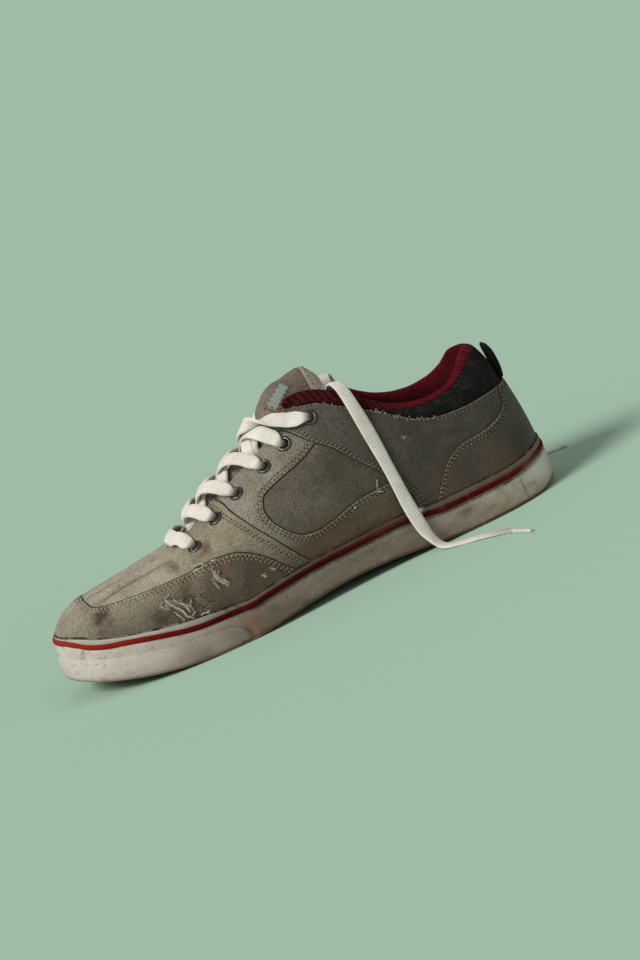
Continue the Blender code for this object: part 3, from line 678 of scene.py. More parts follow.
def cotton_canvas(name, pale, deep, pitch, stops, slant=0.0, thread=0.5, low_dirt=0.6):
    """Woven cotton duck, dulled by dust: pale fibres over a darker ground, brown where dirt rises off the
    sole. pitch is the thread spacing in mm, drawn coarser than real so that it shows; slant 1 gives a twill
    rib, and low_dirt is how much dirt there is low down."""
    material, tree, spot = new_finish(name, 0.95, Sheen_Weight=0.1, Sheen_Roughness=0.6)
    blotch = add(tree, "TexNoise", Vector=spot["Object"], Scale=55.0, Detail=8.0, Roughness=0.7)
    mottle = add(tree, "TexNoise", Vector=spot["Object"], Scale=240.0, Detail=6.0, Roughness=0.7)
    fibre = add(tree, "TexNoise", Vector=spot["Object"], Scale=1200.0, Detail=2.0, Roughness=0.7)
    axes = add(tree, "SeparateXYZ", Vector=spot["Object"]).outputs
    cloth = add(tree, "SeparateXYZ", Vector=spot["UV"]).outputs
    turn = 2 * math.pi / pitch
    warp = add(tree, "Math", "MULTIPLY", i0=cloth[0], i1=turn)
    weft = add(tree, "Math", "MULTIPLY_ADD", i0=cloth[1], i1=turn * (1 - 0.45 * slant),
               i2=add(tree, "Math", "MULTIPLY", i0=warp, i1=-0.9 * slant))
    waves = [add(tree, "Math", "SINE", i0=w) for w in (warp, weft)]
    weave = add(tree, "Math", "MULTIPLY", i0=waves[0], i1=waves[1])
    if slant:
        weave = add(tree, "Math", "MULTIPLY_ADD", i0=weave, i1=0.5, i2=waves[1])
    # the nap has hidden the weave in places
    shown = add(tree, "MapRange", Value=mottle, i1=0.4, i2=0.65, i3=0.25, i4=1.0)
    if slant:  # the rib has worn away low down
        high_up = add(tree, "MapRange", Value=axes[2], i1=0.044, i2=0.056, i3=0.12, i4=0.75)
        shown = add(tree, "Math", "MULTIPLY", i0=shown, i1=high_up)
    weave = add(tree, "Math", "MULTIPLY", i0=weave, i1=shown)
    ground = add(tree, "MapRange", Value=blotch, i1=0.38, i2=0.62)
    colour = add(tree, "Mix", HUES, i0=ground, i6=deep, i7=pale)
    # painted light along the shoe, brightest at the toe and falling off towards the heel, mixed with soil
    colour = add(tree, "Mix", TINT, i0=1.0, i6=colour, i7=painted_light_and_soil_along_shoe(tree, axes, stops))
    low = add(tree, "MapRange", Value=axes[2], i1=0.050, i2=0.026, i4=low_dirt * 1.5)
    low = add(tree, "Math", CLAMPED, i0=low, i1=add(tree, "MapRange", Value=blotch, i1=0.3, i2=0.6, i3=0.3))
    colour = add(tree, "Mix", HUES, i0=low, i6=colour, i7="47382a")
    tone = add(tree, "MapRange", Value=mottle, i1=0.3, i2=0.7, i3=0.74, i4=1.22)
    tone = add(tree, "Math", "MULTIPLY_ADD", i0=weave, i1=0.13, i2=tone)
    grain = add(tree, "MapRange", Value=fibre, i1=0.3, i2=0.7, i3=-0.5, i4=0.45)
    tone = add(tree, "Math", i0=tone, i1=grain)
    colour = add(tree, "VectorMath", "SCALE", i0=colour, Scale=tone)
    wear = wear_channels(tree)
    result = colour
    # stain soaks in evenly, dirt sits in ragged patches, and bared thread shows as single fibres
    worn = ((2, "5c4530", mottle, 0.9, -0.58), (0, "2a231a", mottle, 1.1, -0.82),
            (1, "b5ad9c", fibre, 1.5, -1.1))
    for channel, hue, noise, share, least in worn:
        level = add(tree, "Math", "MULTIPLY_ADD", i0=noise, i1=share, i2=least)
        amount = add(tree, "Math", i0=wear[channel], i1=level)
        amount = add(tree, "Math", CLAMPED, i0=amount, i1=1.7)
        result = add(tree, "Mix", HUES, i0=amount, i6=result, i7=hue)
    height = add(tree, "Math", "MULTIPLY_ADD", i0=weave, i1=thread,
                 i2=add(tree, "Math", "MULTIPLY", i0=mottle, i1=2.0))
    height = add(tree, "Math", "MULTIPLY_ADD", i0=fibre, i1=1.2, i2=height)
    return finished(material, result, height, 0.0006, 0.85)


def sole_rubber(name, clean, grime, grime_share, stops, roughness=0.62, print_pitch=None, marking=1.0,
                gloss=0.4):
    """Vulcanised rubber tape: smooth, slightly glossy where it is clean, grey-brown where grime has rubbed
    in, with small pits and scuffs of the strength marking."""
    material, tree, spot = new_finish(name, roughness, Specular_IOR_Level=gloss)
    axes = add(tree, "SeparateXYZ", Vector=spot["Object"]).outputs
    cloud = add(tree, "TexNoise", Vector=spot["Object"], Scale=26.0, Detail=7.0, Roughness=0.62)
    speck = add(tree, "TexNoise", Vector=spot["Object"], Scale=620.0, Detail=3.0, Roughness=0.6)
    smudge = add(tree, "TexNoise", Vector=spot["Object"], Scale=130.0, Detail=10.0, Roughness=0.75)
    drawn_out = add(tree, "Mapping", Vector=spot["Object"], Scale=(45, 45, 420))
    long_scuff = add(tree, "TexNoise", Vector=drawn_out, Scale=1.0, Detail=5.0, Roughness=0.7)
    level = add(tree, "MapRange", Value=axes[2], i1=0.012, i2=0.002, i3=0.0, i4=0.42)
    # more grime back from the toe: partly grime, partly painted shade where the light falls off from the lit
    # toe
    along = add(tree, "MapRange", Value=axes[0], i1=-0.125, i2=-0.04, i3=0.0, i4=0.16)
    amount = add(tree, "Math", "MULTIPLY_ADD", i0=cloud, i1=0.9, i2=grime_share - 0.45)
    for extra in (level, along):
        amount = add(tree, "Math", i0=amount, i1=extra)
    amount = add(tree, "Math", "SUBTRACT", i0=amount, i1=0.25)
    amount = add(tree, "Math", CLAMPED_SUM, i0=long_scuff, i1=0.5, i2=amount)
    colour = add(tree, "Mix", HUES, i0=amount, i6=clean, i7=grime)
    # painted light along the shoe, brightest at the toe and falling off towards the heel, mixed with grime
    colour = add(tree, "Mix", TINT, i0=1.0, i6=colour, i7=painted_light_and_soil_along_shoe(tree, axes, stops))
    # brown smudges, pale scuffs and dark specks
    scuffs = ((smudge, 0.53, 0.68, 0.75, "7d6655"), (smudge, 0.40, 0.30, 0.25, "e4dfd8"),
              (speck, 0.64, 0.7, 0.8, "3f342a"))
    for noise, low, high, most, hue in scuffs:
        dots = add(tree, "MapRange", Value=noise, i1=low, i2=high, i3=0.0, i4=most * marking)
        colour = add(tree, "Mix", HUES, i0=dots, i6=colour, i7=hue)
    wear = wear_channels(tree)
    result = colour
    for channel, hue in ((2, "7a5236"), (0, "241d16"), (1, "d6d1c8")):
        part = add(tree, "Math", CLAMPED, i0=wear[channel],
                   i1=add(tree, "Math", "MULTIPLY_ADD", i0=smudge, i1=3.0,
                          i2=-0.6))
        result = add(tree, "Mix", HUES, i0=part, i6=result, i7=hue)
    rough = add(tree, "MapRange", Value=amount, i3=roughness - 0.12, i4=0.9)
    height = add(tree, "Math", "MULTIPLY_ADD", i0=speck, i1=0.5, i2=long_scuff)
    if print_pitch:
        cloth = add(tree, "SeparateXYZ", Vector=spot["UV"]).outputs
        turn = 2 * math.pi / print_pitch
        both = [add(tree, "Math", op, i0=cloth[0], i1=cloth[1]) for op in ("ADD", "SUBTRACT")]
        waves = [add(tree, "Math", "SINE", i0=add(tree, "Math", "MULTIPLY", i0=b, i1=turn)) for b in both]
        diamond = add(tree, "Math", "MAXIMUM", i0=waves[0], i1=waves[1])
        patch = add(tree, "Math", "MULTIPLY", i0=diamond, i1=wear[1])
        height = add(tree, "Math", "MULTIPLY_ADD", i0=patch, i1=1.6, i2=height)
    return finished(material, result, height, 0.0004, 0.55, rough)


def striped_cloth(name, light, dark, pitch, share, across, lean, roughness=0.9, fuzz=0.35, lift=0.5):
    """Ribbed or striped textile in which raised yarns of one hue stand in a ground of the other. across
    picks the UV axis that the stripes count along, lean slants them and share is the light yarn's part."""
    material, tree, spot = new_finish(name, roughness, Specular_IOR_Level=0.12)
    cloth = add(tree, "SeparateXYZ", Vector=spot["UV"]).outputs
    slip = add(tree, "Math", "MULTIPLY_ADD", i0=cloth[1 - across], i1=lean, i2=cloth[across])
    noise = add(tree, "TexNoise", Vector=spot["Object"], Scale=260.0, Detail=4.0, Roughness=0.6)
    wobble = add(tree, "Math", "MULTIPLY_ADD", i0=noise, i1=pitch * fuzz, i2=slip)
    turn = add(tree, "Math", "MULTIPLY", i0=wobble, i1=2 * math.pi / pitch)
    wave = add(tree, "Math", "SINE", i0=turn)
    limit = math.cos(math.pi * share)
    part = add(tree, "MapRange", Value=wave, i1=limit - 0.25, i2=limit + 0.25)
    colour = add(tree, "Mix", HUES, i0=part, i6=dark, i7=light)
    tone = add(tree, "MapRange", Value=noise, i1=0.3, i2=0.7, i3=0.6, i4=1.3)
    colour = add(tree, "VectorMath", "SCALE", i0=colour, Scale=tone)
    height = add(tree, "Math", i0=wave, i1=noise)
    return finished(material, colour, height, 0.0005, lift)


def spacer_mesh(name, light, dark, pitch):
    """Knitted air mesh over foam: a black net of small round holes with a grey glint on its yarns."""
    material, tree, spot = new_finish(name, 0.8, Specular_IOR_Level=0.15)
    cells = add(tree, "TexVoronoi", {"feature": "DISTANCE_TO_EDGE"}, Vector=spot["Object"],
                Scale=1000 / pitch, Randomness=0.5)
    noise = add(tree, "TexNoise", Vector=spot["Object"], Scale=120.0, Detail=5.0)
    yarn = add(tree, "MapRange", Value=cells.outputs["Distance"], i1=0.02, i2=0.3, i3=1.0, i4=0.0)
    dust = add(tree, "MapRange", Value=noise, i1=0.4, i2=0.7, i3=0.3, i4=1.0)
    amount = add(tree, "Math", "MULTIPLY", i0=yarn, i1=dust)
    colour = add(tree, "Mix", HUES, i0=amount, i6=dark, i7=light)
    return finished(material, colour, yarn, 0.0006, 0.8)


def plain_finish(name, pale, deep, roughness, scale=180.0, bump_strength=0.25, stops=None, **sockets):
    """A finish with only slight unevenness: two close hues in fine clouds, and a faint bump."""
    material, tree, spot = new_finish(name, roughness, **sockets)
    noise = add(tree, "TexNoise", Vector=spot["Object"], Scale=scale, Detail=6.0, Roughness=0.65)
    amount = add(tree, "MapRange", Value=noise, i1=0.35, i2=0.65)
    colour = add(tree, "Mix", HUES, i0=amount, i6=deep, i7=pale)
    if stops:
        axes = add(tree, "SeparateXYZ", Vector=spot["Object"]).outputs
        # painted light along the shoe, brightest at the toe and falling off towards the heel, mixed with soil
        colour = add(tree, "Mix", TINT, i0=1.0, i6=colour, i7=painted_light_and_soil_along_shoe(tree, axes, stops))
    return finished(material, colour, noise, 0.0003, bump_strength)


def lace_cotton(name, clean, worn):
    """Flat tubular-woven cotton: lengthwise ribs under fine picks, brown where it rubs in the eyelets."""
    material, tree, spot = new_finish(name, 0.92, Sheen_Weight=0.15, Sheen_Roughness=0.6)
    cloth = add(tree, "SeparateXYZ", Vector=spot["UV"]).outputs
    ribs = add(tree, "Math", "MULTIPLY", i0=cloth[1], i1=2 * math.pi / 1.35)
    slope = add(tree, "Math", "PINGPONG", i0=cloth[1], i1=1.35)
    picks = add(tree, "Math", "MULTIPLY_ADD", i0=cloth[0], i1=2 * math.pi / 1.1,
                i2=add(tree, "Math", "MULTIPLY", i0=slope, i1=3.0))
    waves = [add(tree, "Math", "SINE", i0=w) for w in (ribs, picks)]
    yarn = add(tree, "Math", "MULTIPLY_ADD", i0=waves[1], i1=0.5, i2=waves[0])
    noise = add(tree, "TexNoise", Vector=spot["Object"], Scale=140.0, Detail=6.0, Roughness=0.6)
    wear = wear_channels(tree)
    amount = add(tree, "MapRange", Value=noise, i1=0.4, i2=0.75, i3=0.0, i4=0.5)
    colour = add(tree, "Mix", HUES, i0=amount, i6=clean, i7=worn)
    colour = add(tree, "Mix", HUES, i0=wear[0], i6=colour, i7="3b2f22")
    tone = add(tree, "MapRange", Value=yarn, i1=-1.3, i2=1.0, i3=0.86, i4=1.04)
    colour = add(tree, "VectorMath", "SCALE", i0=colour, Scale=tone)
    return finished(material, colour, yarn, 0.0004, 0.42)


# Dusty cotton duck: chalky and matt, greyer towards the heel with painted shade and dust
VAMP = cotton_canvas("dusty_cotton_duck", "b5ab98", "9a907e", 1.3,
                     ((0, "ffffff"), (70, "f8f6f0"), (110, "dcd6ca"), (150, "c8c3b8")))
# The same duck scuffed: pale round the toe with painted light, and a dull brown along the sides, partly dirt
# and partly painted shade
MUDGUARD = cotton_canvas("scuffed_cotton_duck", "b3a996", "958a78", 1.3,
                         ((0, "ffffff"), (45, "ece8de"), (80, "bfb6a8"), (112, "8c8072"), (145, "857969")))
# Cotton twill: fine slanting ribs, worn smooth low down
TWILL = cotton_canvas("ribbed_cotton_twill", "a39c90", "8a8275", 1.4,
                      ((90, "ffffff"), (145, "f0ede4"), (180, "c4bfb4"), (215, "a8a298")), 1.0, 0.8, 1.0)
# The base canvas, bared by the side window: darker, partly painted shade of its hollow and partly the dust
# that it holds
WINDOW_CLOTH = cotton_canvas("side_window_canvas", "7c7264", "655b4f", 1.2,
                       ((120, "ffffff"), (160, "e4e0d8"), (200, "b8b3a8"), (260, "a8a39a")))
# Grey canvas at the rear: dark, partly dust in its weave and partly painted shade where the light falls off
# towards the heel
REAR = cotton_canvas("grey_rear_quarter_canvas", "6c645a", "564f45", 1.3,
                     ((150, "ffffff"), (190, "e4e0da"), (215, "c2beb7"), (240, "b0aca6"), (300, "b4b0a9")),
                     low_dirt=0.4)
COUNTER = cotton_canvas("heel_counter_canvas", "665e53", "4f483e", 1.3,
                        ((200, "e8e4dc"), (250, "d0ccc2"), (300, "e0dcd2")), low_dirt=0.5)
# Brushed canvas over padding: soft, with a fine weave
TONGUE_CLOTH = cotton_canvas("brushed_tongue_canvas", "9b9183", "7a7063", 1.0,
                             ((80, "ffffff"), (148, "f2eee8"), (158, "dfdbd5"), (200, "dcd6cc")))
# Sidewall rubber: creamy, yellowed and greyed by grime, with a low gloss; painted light brightens it at the
# toe, painted shade darkens its middle, and a painted highlight whitens the heel's end
TAPE = sole_rubber("yellowed_sidewall_rubber", "ded9d2", "96826f", 0.28,
                   ((0, "f8f5f2"), (60, "d2cbc4"), (110, "9b9087"), (140, "aaa098"), (200, "a9a098"),
                    (235, "c4bcb5"), (262, "e4deda"), (285, "ffffff")))
# The tape's top edge: duller and browner, partly grime and partly painted shade, darkest along the middle
CREST = sole_rubber("grimy_and_shaded_tape_edge_rubber", "c4bdb3", "857768", 0.36,
                    ((0, "ffffff"), (60, "ffffff"), (110, "a89e92"), (150, "92877a"), (240, "958b7e"),
                     (300, "b0a698")), 0.75, marking=0.6, gloss=0.2)
# The toe bumper: the cleanest rubber, scuffed, with a faint print of diamonds; painted shade darkens it from
# the toe back
BUMPER_RUBBER = sole_rubber("scuffed_bumper_rubber", "e2dcd7", "97887d", 0.28,
                            ((0, "f8f5f2"), (45, "d9d2cc"), (75, "b5aca4"), (105, "998e84")), 0.6, 2.6,
                            marking=0.9)
# The pinstripe: red, paled at the toe and darkened to a brown-red further back, partly wear and partly
# painted light that falls off from the toe
STRIPE = sole_rubber("red_rubber_pinstripe", "a23426", "8a271b", 0.4,
                     ((0, "f4e4e0"), (30, "e0a49c"), (60, "a84640"), (95, "702420"), (150, "641c19"),
                      (225, "782824"), (300, "984842")), 0.8, marking=0.15, gloss=0.08)
# Brown outsole rubber: matt and earthy
TREAD_RUBBER = sole_rubber("brown_outsole_rubber", "a58a72", "6d5844", 0.5, ((0, "ffffff"), (300, "e0dcd4")),
                           0.8)
# Spacer mesh: deep black holes and a few grey glints
MESH = spacer_mesh("black_spacer_mesh", "35322f", "030303", 1.4)
# Striped binding and ribbed linings: dark red yarns in near black
BINDING = striped_cloth("striped_cotton_binding", "55060e", "15100f", 4.4, 0.5, 0, 0.45)
ROLL = striped_cloth("ribbed_rim_lining", "5c0a14", "26060a", 2.4, 0.7, 0, 0.5)
INSIDE = striped_cloth("ribbed_collar_lining", "661019", "2c0a0e", 1.6, 0.7, 1, 0.0)
# Waxed thread: a row of pale dots along each seam, greyer towards the heel with painted shade
THREAD = plain_finish("waxed_stitch_thread", "a99f8b", "8a806c", 0.85, 900.0,
                      stops=((20, "ffffff"), (100, "e8e2d6"), (150, "c9c3b6"), (210, "b3ada0"),
                             (290, "b3ada0")))
# Painted shade with some soil, in the needle holes and under the panels' edges: a dark line that sets them
# off
SHADE_AND_SOIL_LINE = plain_finish("painted_shade_and_soil_groove", "40382c", "2a231a", 0.95, 900.0, Specular_IOR_Level=0.1)
# Frayed cotton: the palest fibres, as they come from inside the cloth
LOOSE_THREAD = plain_finish("frayed_cotton_ends", "cfc9bb", "979080", 0.95, 600.0)
# Lace cotton: near white and matt
COTTON = lace_cotton("flat_woven_lace_cotton", "f4ede2", "c8b9a2")
# Worn nickel plate: grey metal with blurred highlights
NICKEL = plain_finish("worn_nickel_plate", "77716a", "3a3530", 0.38, 500.0, 0.2, Metallic=1.0)
# Acetate tips: smooth, with a small sharp gloss
AGLET = plain_finish("acetate_lace_tip", "d9d5cb", "bdb6a8", 0.3, 200.0, 0.1)
# Herringbone webbing: matt black with a fine slant
WEBBING = striped_cloth("black_herringbone_webbing", "141313", "030303", 1.6, 0.5, 0, 1.0)
# Footbed cloth: grey, rubbed and dull
FOOTBED = plain_finish("worn_footbed_cloth", "8a8277", "575149", 0.95, 120.0, 0.4)
# A faded label: flat grey-green
LABEL = plain_finish("faded_woven_label", "8b918a", "6f766f", 0.85, 700.0, 0.3)
# Bar tacks: small strokes of clear red
RED_THREAD = plain_finish("red_bar_tack_thread", "a8302c", "7d201e", 0.8, 700.0)

# ---------------------------------------------------------------- the free lace ends

# (station, across, height) of the points that it runs through, from behind the tongue to the aglet
LATERAL_END = (
    (200.2, -10.6, 96), (200.9, -14.8, 101.5), (202, -20, 105.2), (203.2, -25.5, 106), (204.4, -31, 102.6),
    (205.6, -34.6, 94), (207, -37, 81), (208.5, -39.5, 64), (209.8, -42, 45), (211, -44, 27),
    (213.6, -47, 11), (218.6, -51.5, 3.6), (226.5, -57.5, 2.3), (235, -64.5, 2.3), (243, -72, 2.3),
    (249, -80, 2.3), (252, -88, 2.3),
)
MEDIAL_END = (
    (201.4, 10.5, 95), (202.2, 14.5, 100.8), (203.4, 19.2, 104.3), (204.8, 24.2, 104), (206.4, 29, 99.3),
    (208.4, 32.3, 89), (211.2, 35.2, 75), (214.5, 38, 60), (218.3, 41, 43), (223, 44, 26), (229, 47.5, 10.5),
    (238, 52, 3.4), (250, 56.5, 2.3), (264, 60, 2.3), (278, 62.5, 2.3), (291, 62, 2.3), (303, 59, 2.3),
)
LACE_WIDTH, LACE_THICK = 8.0, 1.5
# A flat lace's section all round: share of its width, share of its thickness
LACE_SECTION = ((-0.5, 0.5), (-0.47, 0.17), (-0.38, 0.02), (-0.2, 0.0), (0.0, 0.03), (0.2, 0.0), (0.38, 0.02),
                (0.47, 0.17), (0.5, 0.5), (0.47, 0.83), (0.38, 0.98), (0.2, 1.0), (0.0, 0.97), (-0.2, 1.0),
                (-0.38, 0.98), (-0.47, 0.83))


def ribbon(name, path, outs, width, soil, finish=None, thick=LACE_THICK, cup=0.0):
    """A flat lace along a path: outs point out of its face, width and soil hold one number a point.
    cup bends its section, edges down."""
    along = unit(np.gradient(path, axis=0))
    outs = unit(outs - along * (outs * along).sum(1, keepdims=True))
    across = np.cross(along, outs)
    w, t = np.array(LACE_SECTION).T
    width = np.broadcast_to(width, len(path))
    plump = thick * (1 + 0.35 * (1 - width / LACE_WIDTH))
    grid = (path[:, None] + across[:, None] * (w * width[:, None])[..., None]
            + outs[:, None] * ((t - 0.5) * plump[:, None] - cup * 4 * w**2)[..., None])
    girth = np.concatenate([w * LACE_WIDTH, [w[0] * LACE_WIDTH]])
    uv = crossed_uv(travelled(path), girth)
    marks = np.zeros((*grid.shape[:2], 3))
    marks[..., 0] = np.broadcast_to(soil, len(path))[:, None]
    return grid_piece(name, grid, [finish or COTTON], (False, True), uv, marks=marks, caps=True)


def lace_end(word, side, points):
    route = rounded(points, 110)
    route[:, 2] -= 1.35 * blend(9, 2.6, route[:, 2])  # the flat lace lies on the floor
    steep = blend(5, 26, route[:, 2])[:, None]
    outs = side * np.cross((1.0, 0, 0), unit(np.gradient(route, axis=0)))  # outwards over the arch and down
    outs = (outs + (0.2, 0, 0)) * steep + np.array([0, 0, 1.0]) * (1 - steep)
    length = travelled(route)
    gathered = LACE_WIDTH * (1 - 0.5 * blend(length[-1] - 14, length[-1] - 2, length))
    gathered *= 1 - 0.12 * np.sin(length / 17) ** 2
    soil = 0.12 + 0.4 * blend(length[-1] - 40, length[-1], length)
    lace = ribbon(f"lace_end_cotton_{word}", route, outs, gathered, soil, cup=0.35)
    tip = unit(route[-1] - route[-2])
    start = route[-1] - tip * 0.6
    beside, above = unit(np.cross(tip, (0, 0, 1))), np.array([0, 0, 1.0])
    angle = even(0, 2 * np.pi, 16)
    ring = beside * np.cos(angle)[:, None] + above * np.sin(angle)[:, None]
    profile = ((0, 1.0), (0, 1.3), (0.5, 1.3), (6, 1.22), (12, 1.2), (19.4, 1.18), (20.2, 1.0), (20.4, 0.6),
               (20.0, 0.3))
    grid = np.array([start + tip * d + ring * r for d, r in profile])
    aglet = grid_piece(f"aglet_sleeve_{word}", grid, [AGLET], (False, True), caps=True)
    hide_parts(f"lace_end_{word}")
    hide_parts(f"aglet_{word}")
    # inside the shoe it comes from under the tongue; its last 1.5 mm lies within the free end
    knots = [(176, side * 7.0, 97), (184, side * 5.6, 91.5), (191, side * 5.0, 87.4),
             (196.6, side * 5.4, 86.6), (points[0][0] - 0.9, side * 7.4, points[0][2] - 5.0)]
    rise = np.subtract(points[1], points[0])
    count = 44
    hidden = rounded(np.vstack([knots, points[0], points[0] + 0.22 * rise]), count)
    turn = np.linspace(0, 1, count)[:, None]
    faces = np.array([0.3, -side * 0.3, 0.9]) * (1 - turn) + np.array([0.2, -side * 0.79, 0.6]) * turn
    inner = ribbon(f"lace_inside_{word}", hidden, faces, np.full(count, LACE_WIDTH - 0.5), 0.3,
                   thick=LACE_THICK - 0.2, cup=0.35)


lace_end("lateral", -1.0, LATERAL_END)
lace_end("medial", 1.0, MEDIAL_END)

# ---------------------------------------------------------------- cloth layers over the upper

def cloth_uv(grid):
    """Millimetres along the shoe and up its side, for weaves."""
    return np.stack([grid[..., 0], grid[..., 2] - 0.7 * np.abs(grid[..., 1] - centre_line(grid[..., 0]))], -1)


def border_distances(grid):
    """Distance over the surface from each place to the grid's four borders: first and last row, and the
    first and last place of its row."""
    u_step = np.linalg.norm(np.diff(grid, axis=0), axis=2)
    v_step = np.linalg.norm(np.diff(grid, axis=1), axis=2)
    u = np.concatenate([np.zeros((1, grid.shape[1])), np.cumsum(u_step, 0)])
    v = np.concatenate([np.zeros((grid.shape[0], 1)), np.cumsum(v_step, 1)], 1)
    return {"first": u, "last": u[-1:] - u, "low": v, "high": v[:, -1:] - v}


def cloth_layer(name, top, bottom, finish, wear, keep=None, wrap=False, uv=None):
    """A closed piece of cloth between two grids of places, walled at its borders and round the cells that
    keep leaves out. wrap joins its last row to its first."""
    nu, nv = top.shape[:2]
    cu = nu if wrap else nu - 1
    if keep is None:
        keep = np.ones((cu, nv - 1), bool)
    under = nu * nv
    i, j = np.nonzero(keep)
    after = (i + 1) % nu
    cell = np.stack([i * nv + j, after * nv + j, after * nv + j + 1, i * nv + j + 1], 1)
    padded = np.zeros((cu + 2, nv + 1), bool)
    padded[1:-1, 1:-1] = keep
    if wrap:
        padded[0, 1:-1], padded[-1, 1:-1] = keep[-1], keep[0]
    walls = []
    for (di, dj), (a, b) in (((-1, 0), (3, 0)), ((1, 0), (1, 2)), ((0, -1), (0, 1)), ((0, 1), (2, 3))):
        edge = cell[~padded[i + 1 + di, j + 1 + dj]][:, (a, b)]
        walls.append(np.stack([edge[:, 1], edge[:, 0], edge[:, 0] + under, edge[:, 1] + under], 1))
    faces = np.concatenate([cell, cell[:, ::-1] + under, *walls])
    mesh = bpy.data.meshes.new(name)
    points = np.concatenate([top.reshape(-1, 3), bottom.reshape(-1, 3)])
    mesh.from_pydata(place(points).tolist(), [], faces.tolist())
    mesh.materials.append(finish)
    mesh.uv_layers.new(name="cloth")
    flat = cloth_uv(top) if uv is None else uv
    write_uv(mesh, np.concatenate([flat.reshape(-1, 2)] * 2)[faces.ravel()])
    write_vectors(mesh, "wear", np.concatenate([wear.reshape(-1, 3)] * 2))
    tidy = bmesh.new()
    tidy.from_mesh(mesh)
    bmesh.ops.delete(tidy, geom=[v for v in tidy.verts if not v.link_faces], context="VERTS")
    tidy.to_mesh(mesh)
    tidy.free()
    return settle(name, mesh)


# What wear leaves: side, (station, height), radius, and share of dirt, bare thread and stain
SPOTS = (
    (-1, (31, 43), 6, (0.45, 0, 0.1)), (-1, (90, 31), 12, (0, 0, 0.25)), (-1, (80, 31), 4.5, (0.75, 0, 0)),
    (-1, (66, 36), 4, (0.1, 0.45, 0)), (-1, (97, 39), 3.5, (0, 0.6, 0)), (-1, (90, 47), 3.5, (0.1, 0.6, 0)),
    (-1, (121, 30), 1.6, (0, 0.45, 0)), (-1, (127, 31), 1.6, (0, 0.45, 0)), (-1, (88, 25), 3, (0.5, 0.2, 0)),
    (-1, (165, 30), 16, (0.1, 0, 0.6)), (-1, (200, 30), 14, (0.2, 0, 0.45)),
    (-1, (145, 30), 9, (0.1, 0, 0.5)), (-1, (178.5, 39.6), 1.3, (1.4, 0, 0)),
    (-1, (181.6, 40.3), 1.0, (1.4, 0, 0)), (-1, (199.5, 41.5), 1.4, (1.2, 0, 0)),
    (-1, (224.5, 62.7), 1.0, (0, 1.2, 0)), (-1, (112, 47), 4, (0.5, 0.2, 0)),
    (-1, (102, 36), 2.5, (0.7, 0.2, 0)), (-1, (236, 30), 10, (0.3, 0, 0.5)),
    (-1, (266, 28), 12, (0.2, 0, 0.5)), (-1, (285, 34), 10, (0.6, 0, 0.2)), (-1, (50, 44), 6, (0, 0.35, 0)),
    (-1, (60, 27), 12, (0.3, 0, 0.4)), (-1, (60, 33), 5, (0.4, 0, 0.1)), (-1, (33, 32), 12, (0.3, 0, 0.35)),
    (-1, (152, 56), 10, (0, 0.25, 0)), (-1, (238, 60), 9, (0, 0.12, 0)), (-1, (272, 52), 8, (0, 0.15, 0)),
    (-1, (205, 70), 9, (0.35, 0, 0)), (-1, (120, 28), 9, (0.2, 0, 0.5)), (-1, (186, 66), 12, (0.4, 0, 0)),
    (-1, (170, 60), 12, (0.25, 0, 0)), (-1, (250, 36), 12, (0.3, 0, 0)), (1, (70, 30), 12, (0.4, 0, 0.3)),
    (1, (95, 32), 9, (0.6, 0, 0.2)), (1, (60, 44), 6, (0, 0.5, 0)), (1, (150, 30), 18, (0.1, 0, 0.7)),
    (1, (200, 30), 16, (0.2, 0, 0.6)), (1, (270, 29), 14, (0.3, 0, 0.5)), (1, (30, 44), 7, (0.6, 0, 0)),
    (1, (110, 36), 5, (0.2, 0.6, 0)), (1, (236, 58), 9, (0.1, 0.3, 0)),
)


def wear_marks(grid):
    """Dirt, bared thread and stain at each place, from the spots."""
    marks = np.zeros((*grid.shape[:2], 3))
    side = np.sign(grid[..., 1] - centre_line(grid[..., 0]))
    for which, (station, height), radius, shares in SPOTS:
        far = np.hypot(grid[..., 0] - station, grid[..., 2] - height)
        near = hump(far, 0, radius) * (side == which)
        marks += near[..., None] * np.array(shares)
    # painted shade with some dirt darkens the folds' hollows over the toes, and a painted highlight with some
    # rubbing pales their ridges
    relief = folds(grid) * (1 - 0.9 * blend(108, 122, grid[..., 0]))
    marks[..., 2] += np.clip(-relief / 1.6, 0, 1) * 0.75
    marks[..., 1] += np.clip(relief / 1.7, 0, 1) * 0.5
    return np.clip(marks, 0, 1)


EYELET_SIDES = [(side, number) for side in (-1, 1) for number in range(len(EYELETS))]
EYELET_SPOTS = [locate(side, *EYELETS[number]) for side, number in EYELET_SIDES]
EYELET_MIDDLES = np.array([sample(GRID, a, u) for a, u in EYELET_SPOTS])


def round_eyelets(grid, radius):
    """Which cells of a grid keep clear of the eyelet holes."""
    middle = (grid[:-1, :-1] + grid[1:, 1:]) / 2
    keep = np.ones(middle.shape[:2], bool)
    for eyelet in EYELET_MIDDLES:
        keep &= np.linalg.norm(middle - eyelet, axis=2) > radius
    return keep


def make_shell():
    """The upper's base canvas: one hollow piece, open at the collar, the throat and underneath."""
    around = sole_ring(90, 130, 70)
    count = 66
    v = np.linspace(0, 1, count)
    a = np.repeat(around[:, None], count, 1)
    low = np.interp(around, AROUND, [column_up(c, underside(GRID[c, 0, 0]) + OUTSOLE + 1)
                                     for c in range(len(AROUND))])
    up = low[:, None] + (end_up(around) - low)[:, None] * v
    base = skin(a, up)
    high = border_distances(base)["high"]
    top = skin(a, up, -0.3 - 0.5 * (1 - np.clip(high / 0.8, 0, 1)) ** 2)
    bottom = skin(a, up, -CANVAS_THICK)
    holes = round_eyelets(np.concatenate([base, base[:1]]), EYELET_CUT)
    shell = cloth_layer("canvas_upper", top, bottom, WINDOW_CLOTH, wear_marks(base), keep=holes, wrap=True)
    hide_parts("upper")


# ---------------------------------------------------------------- the sole

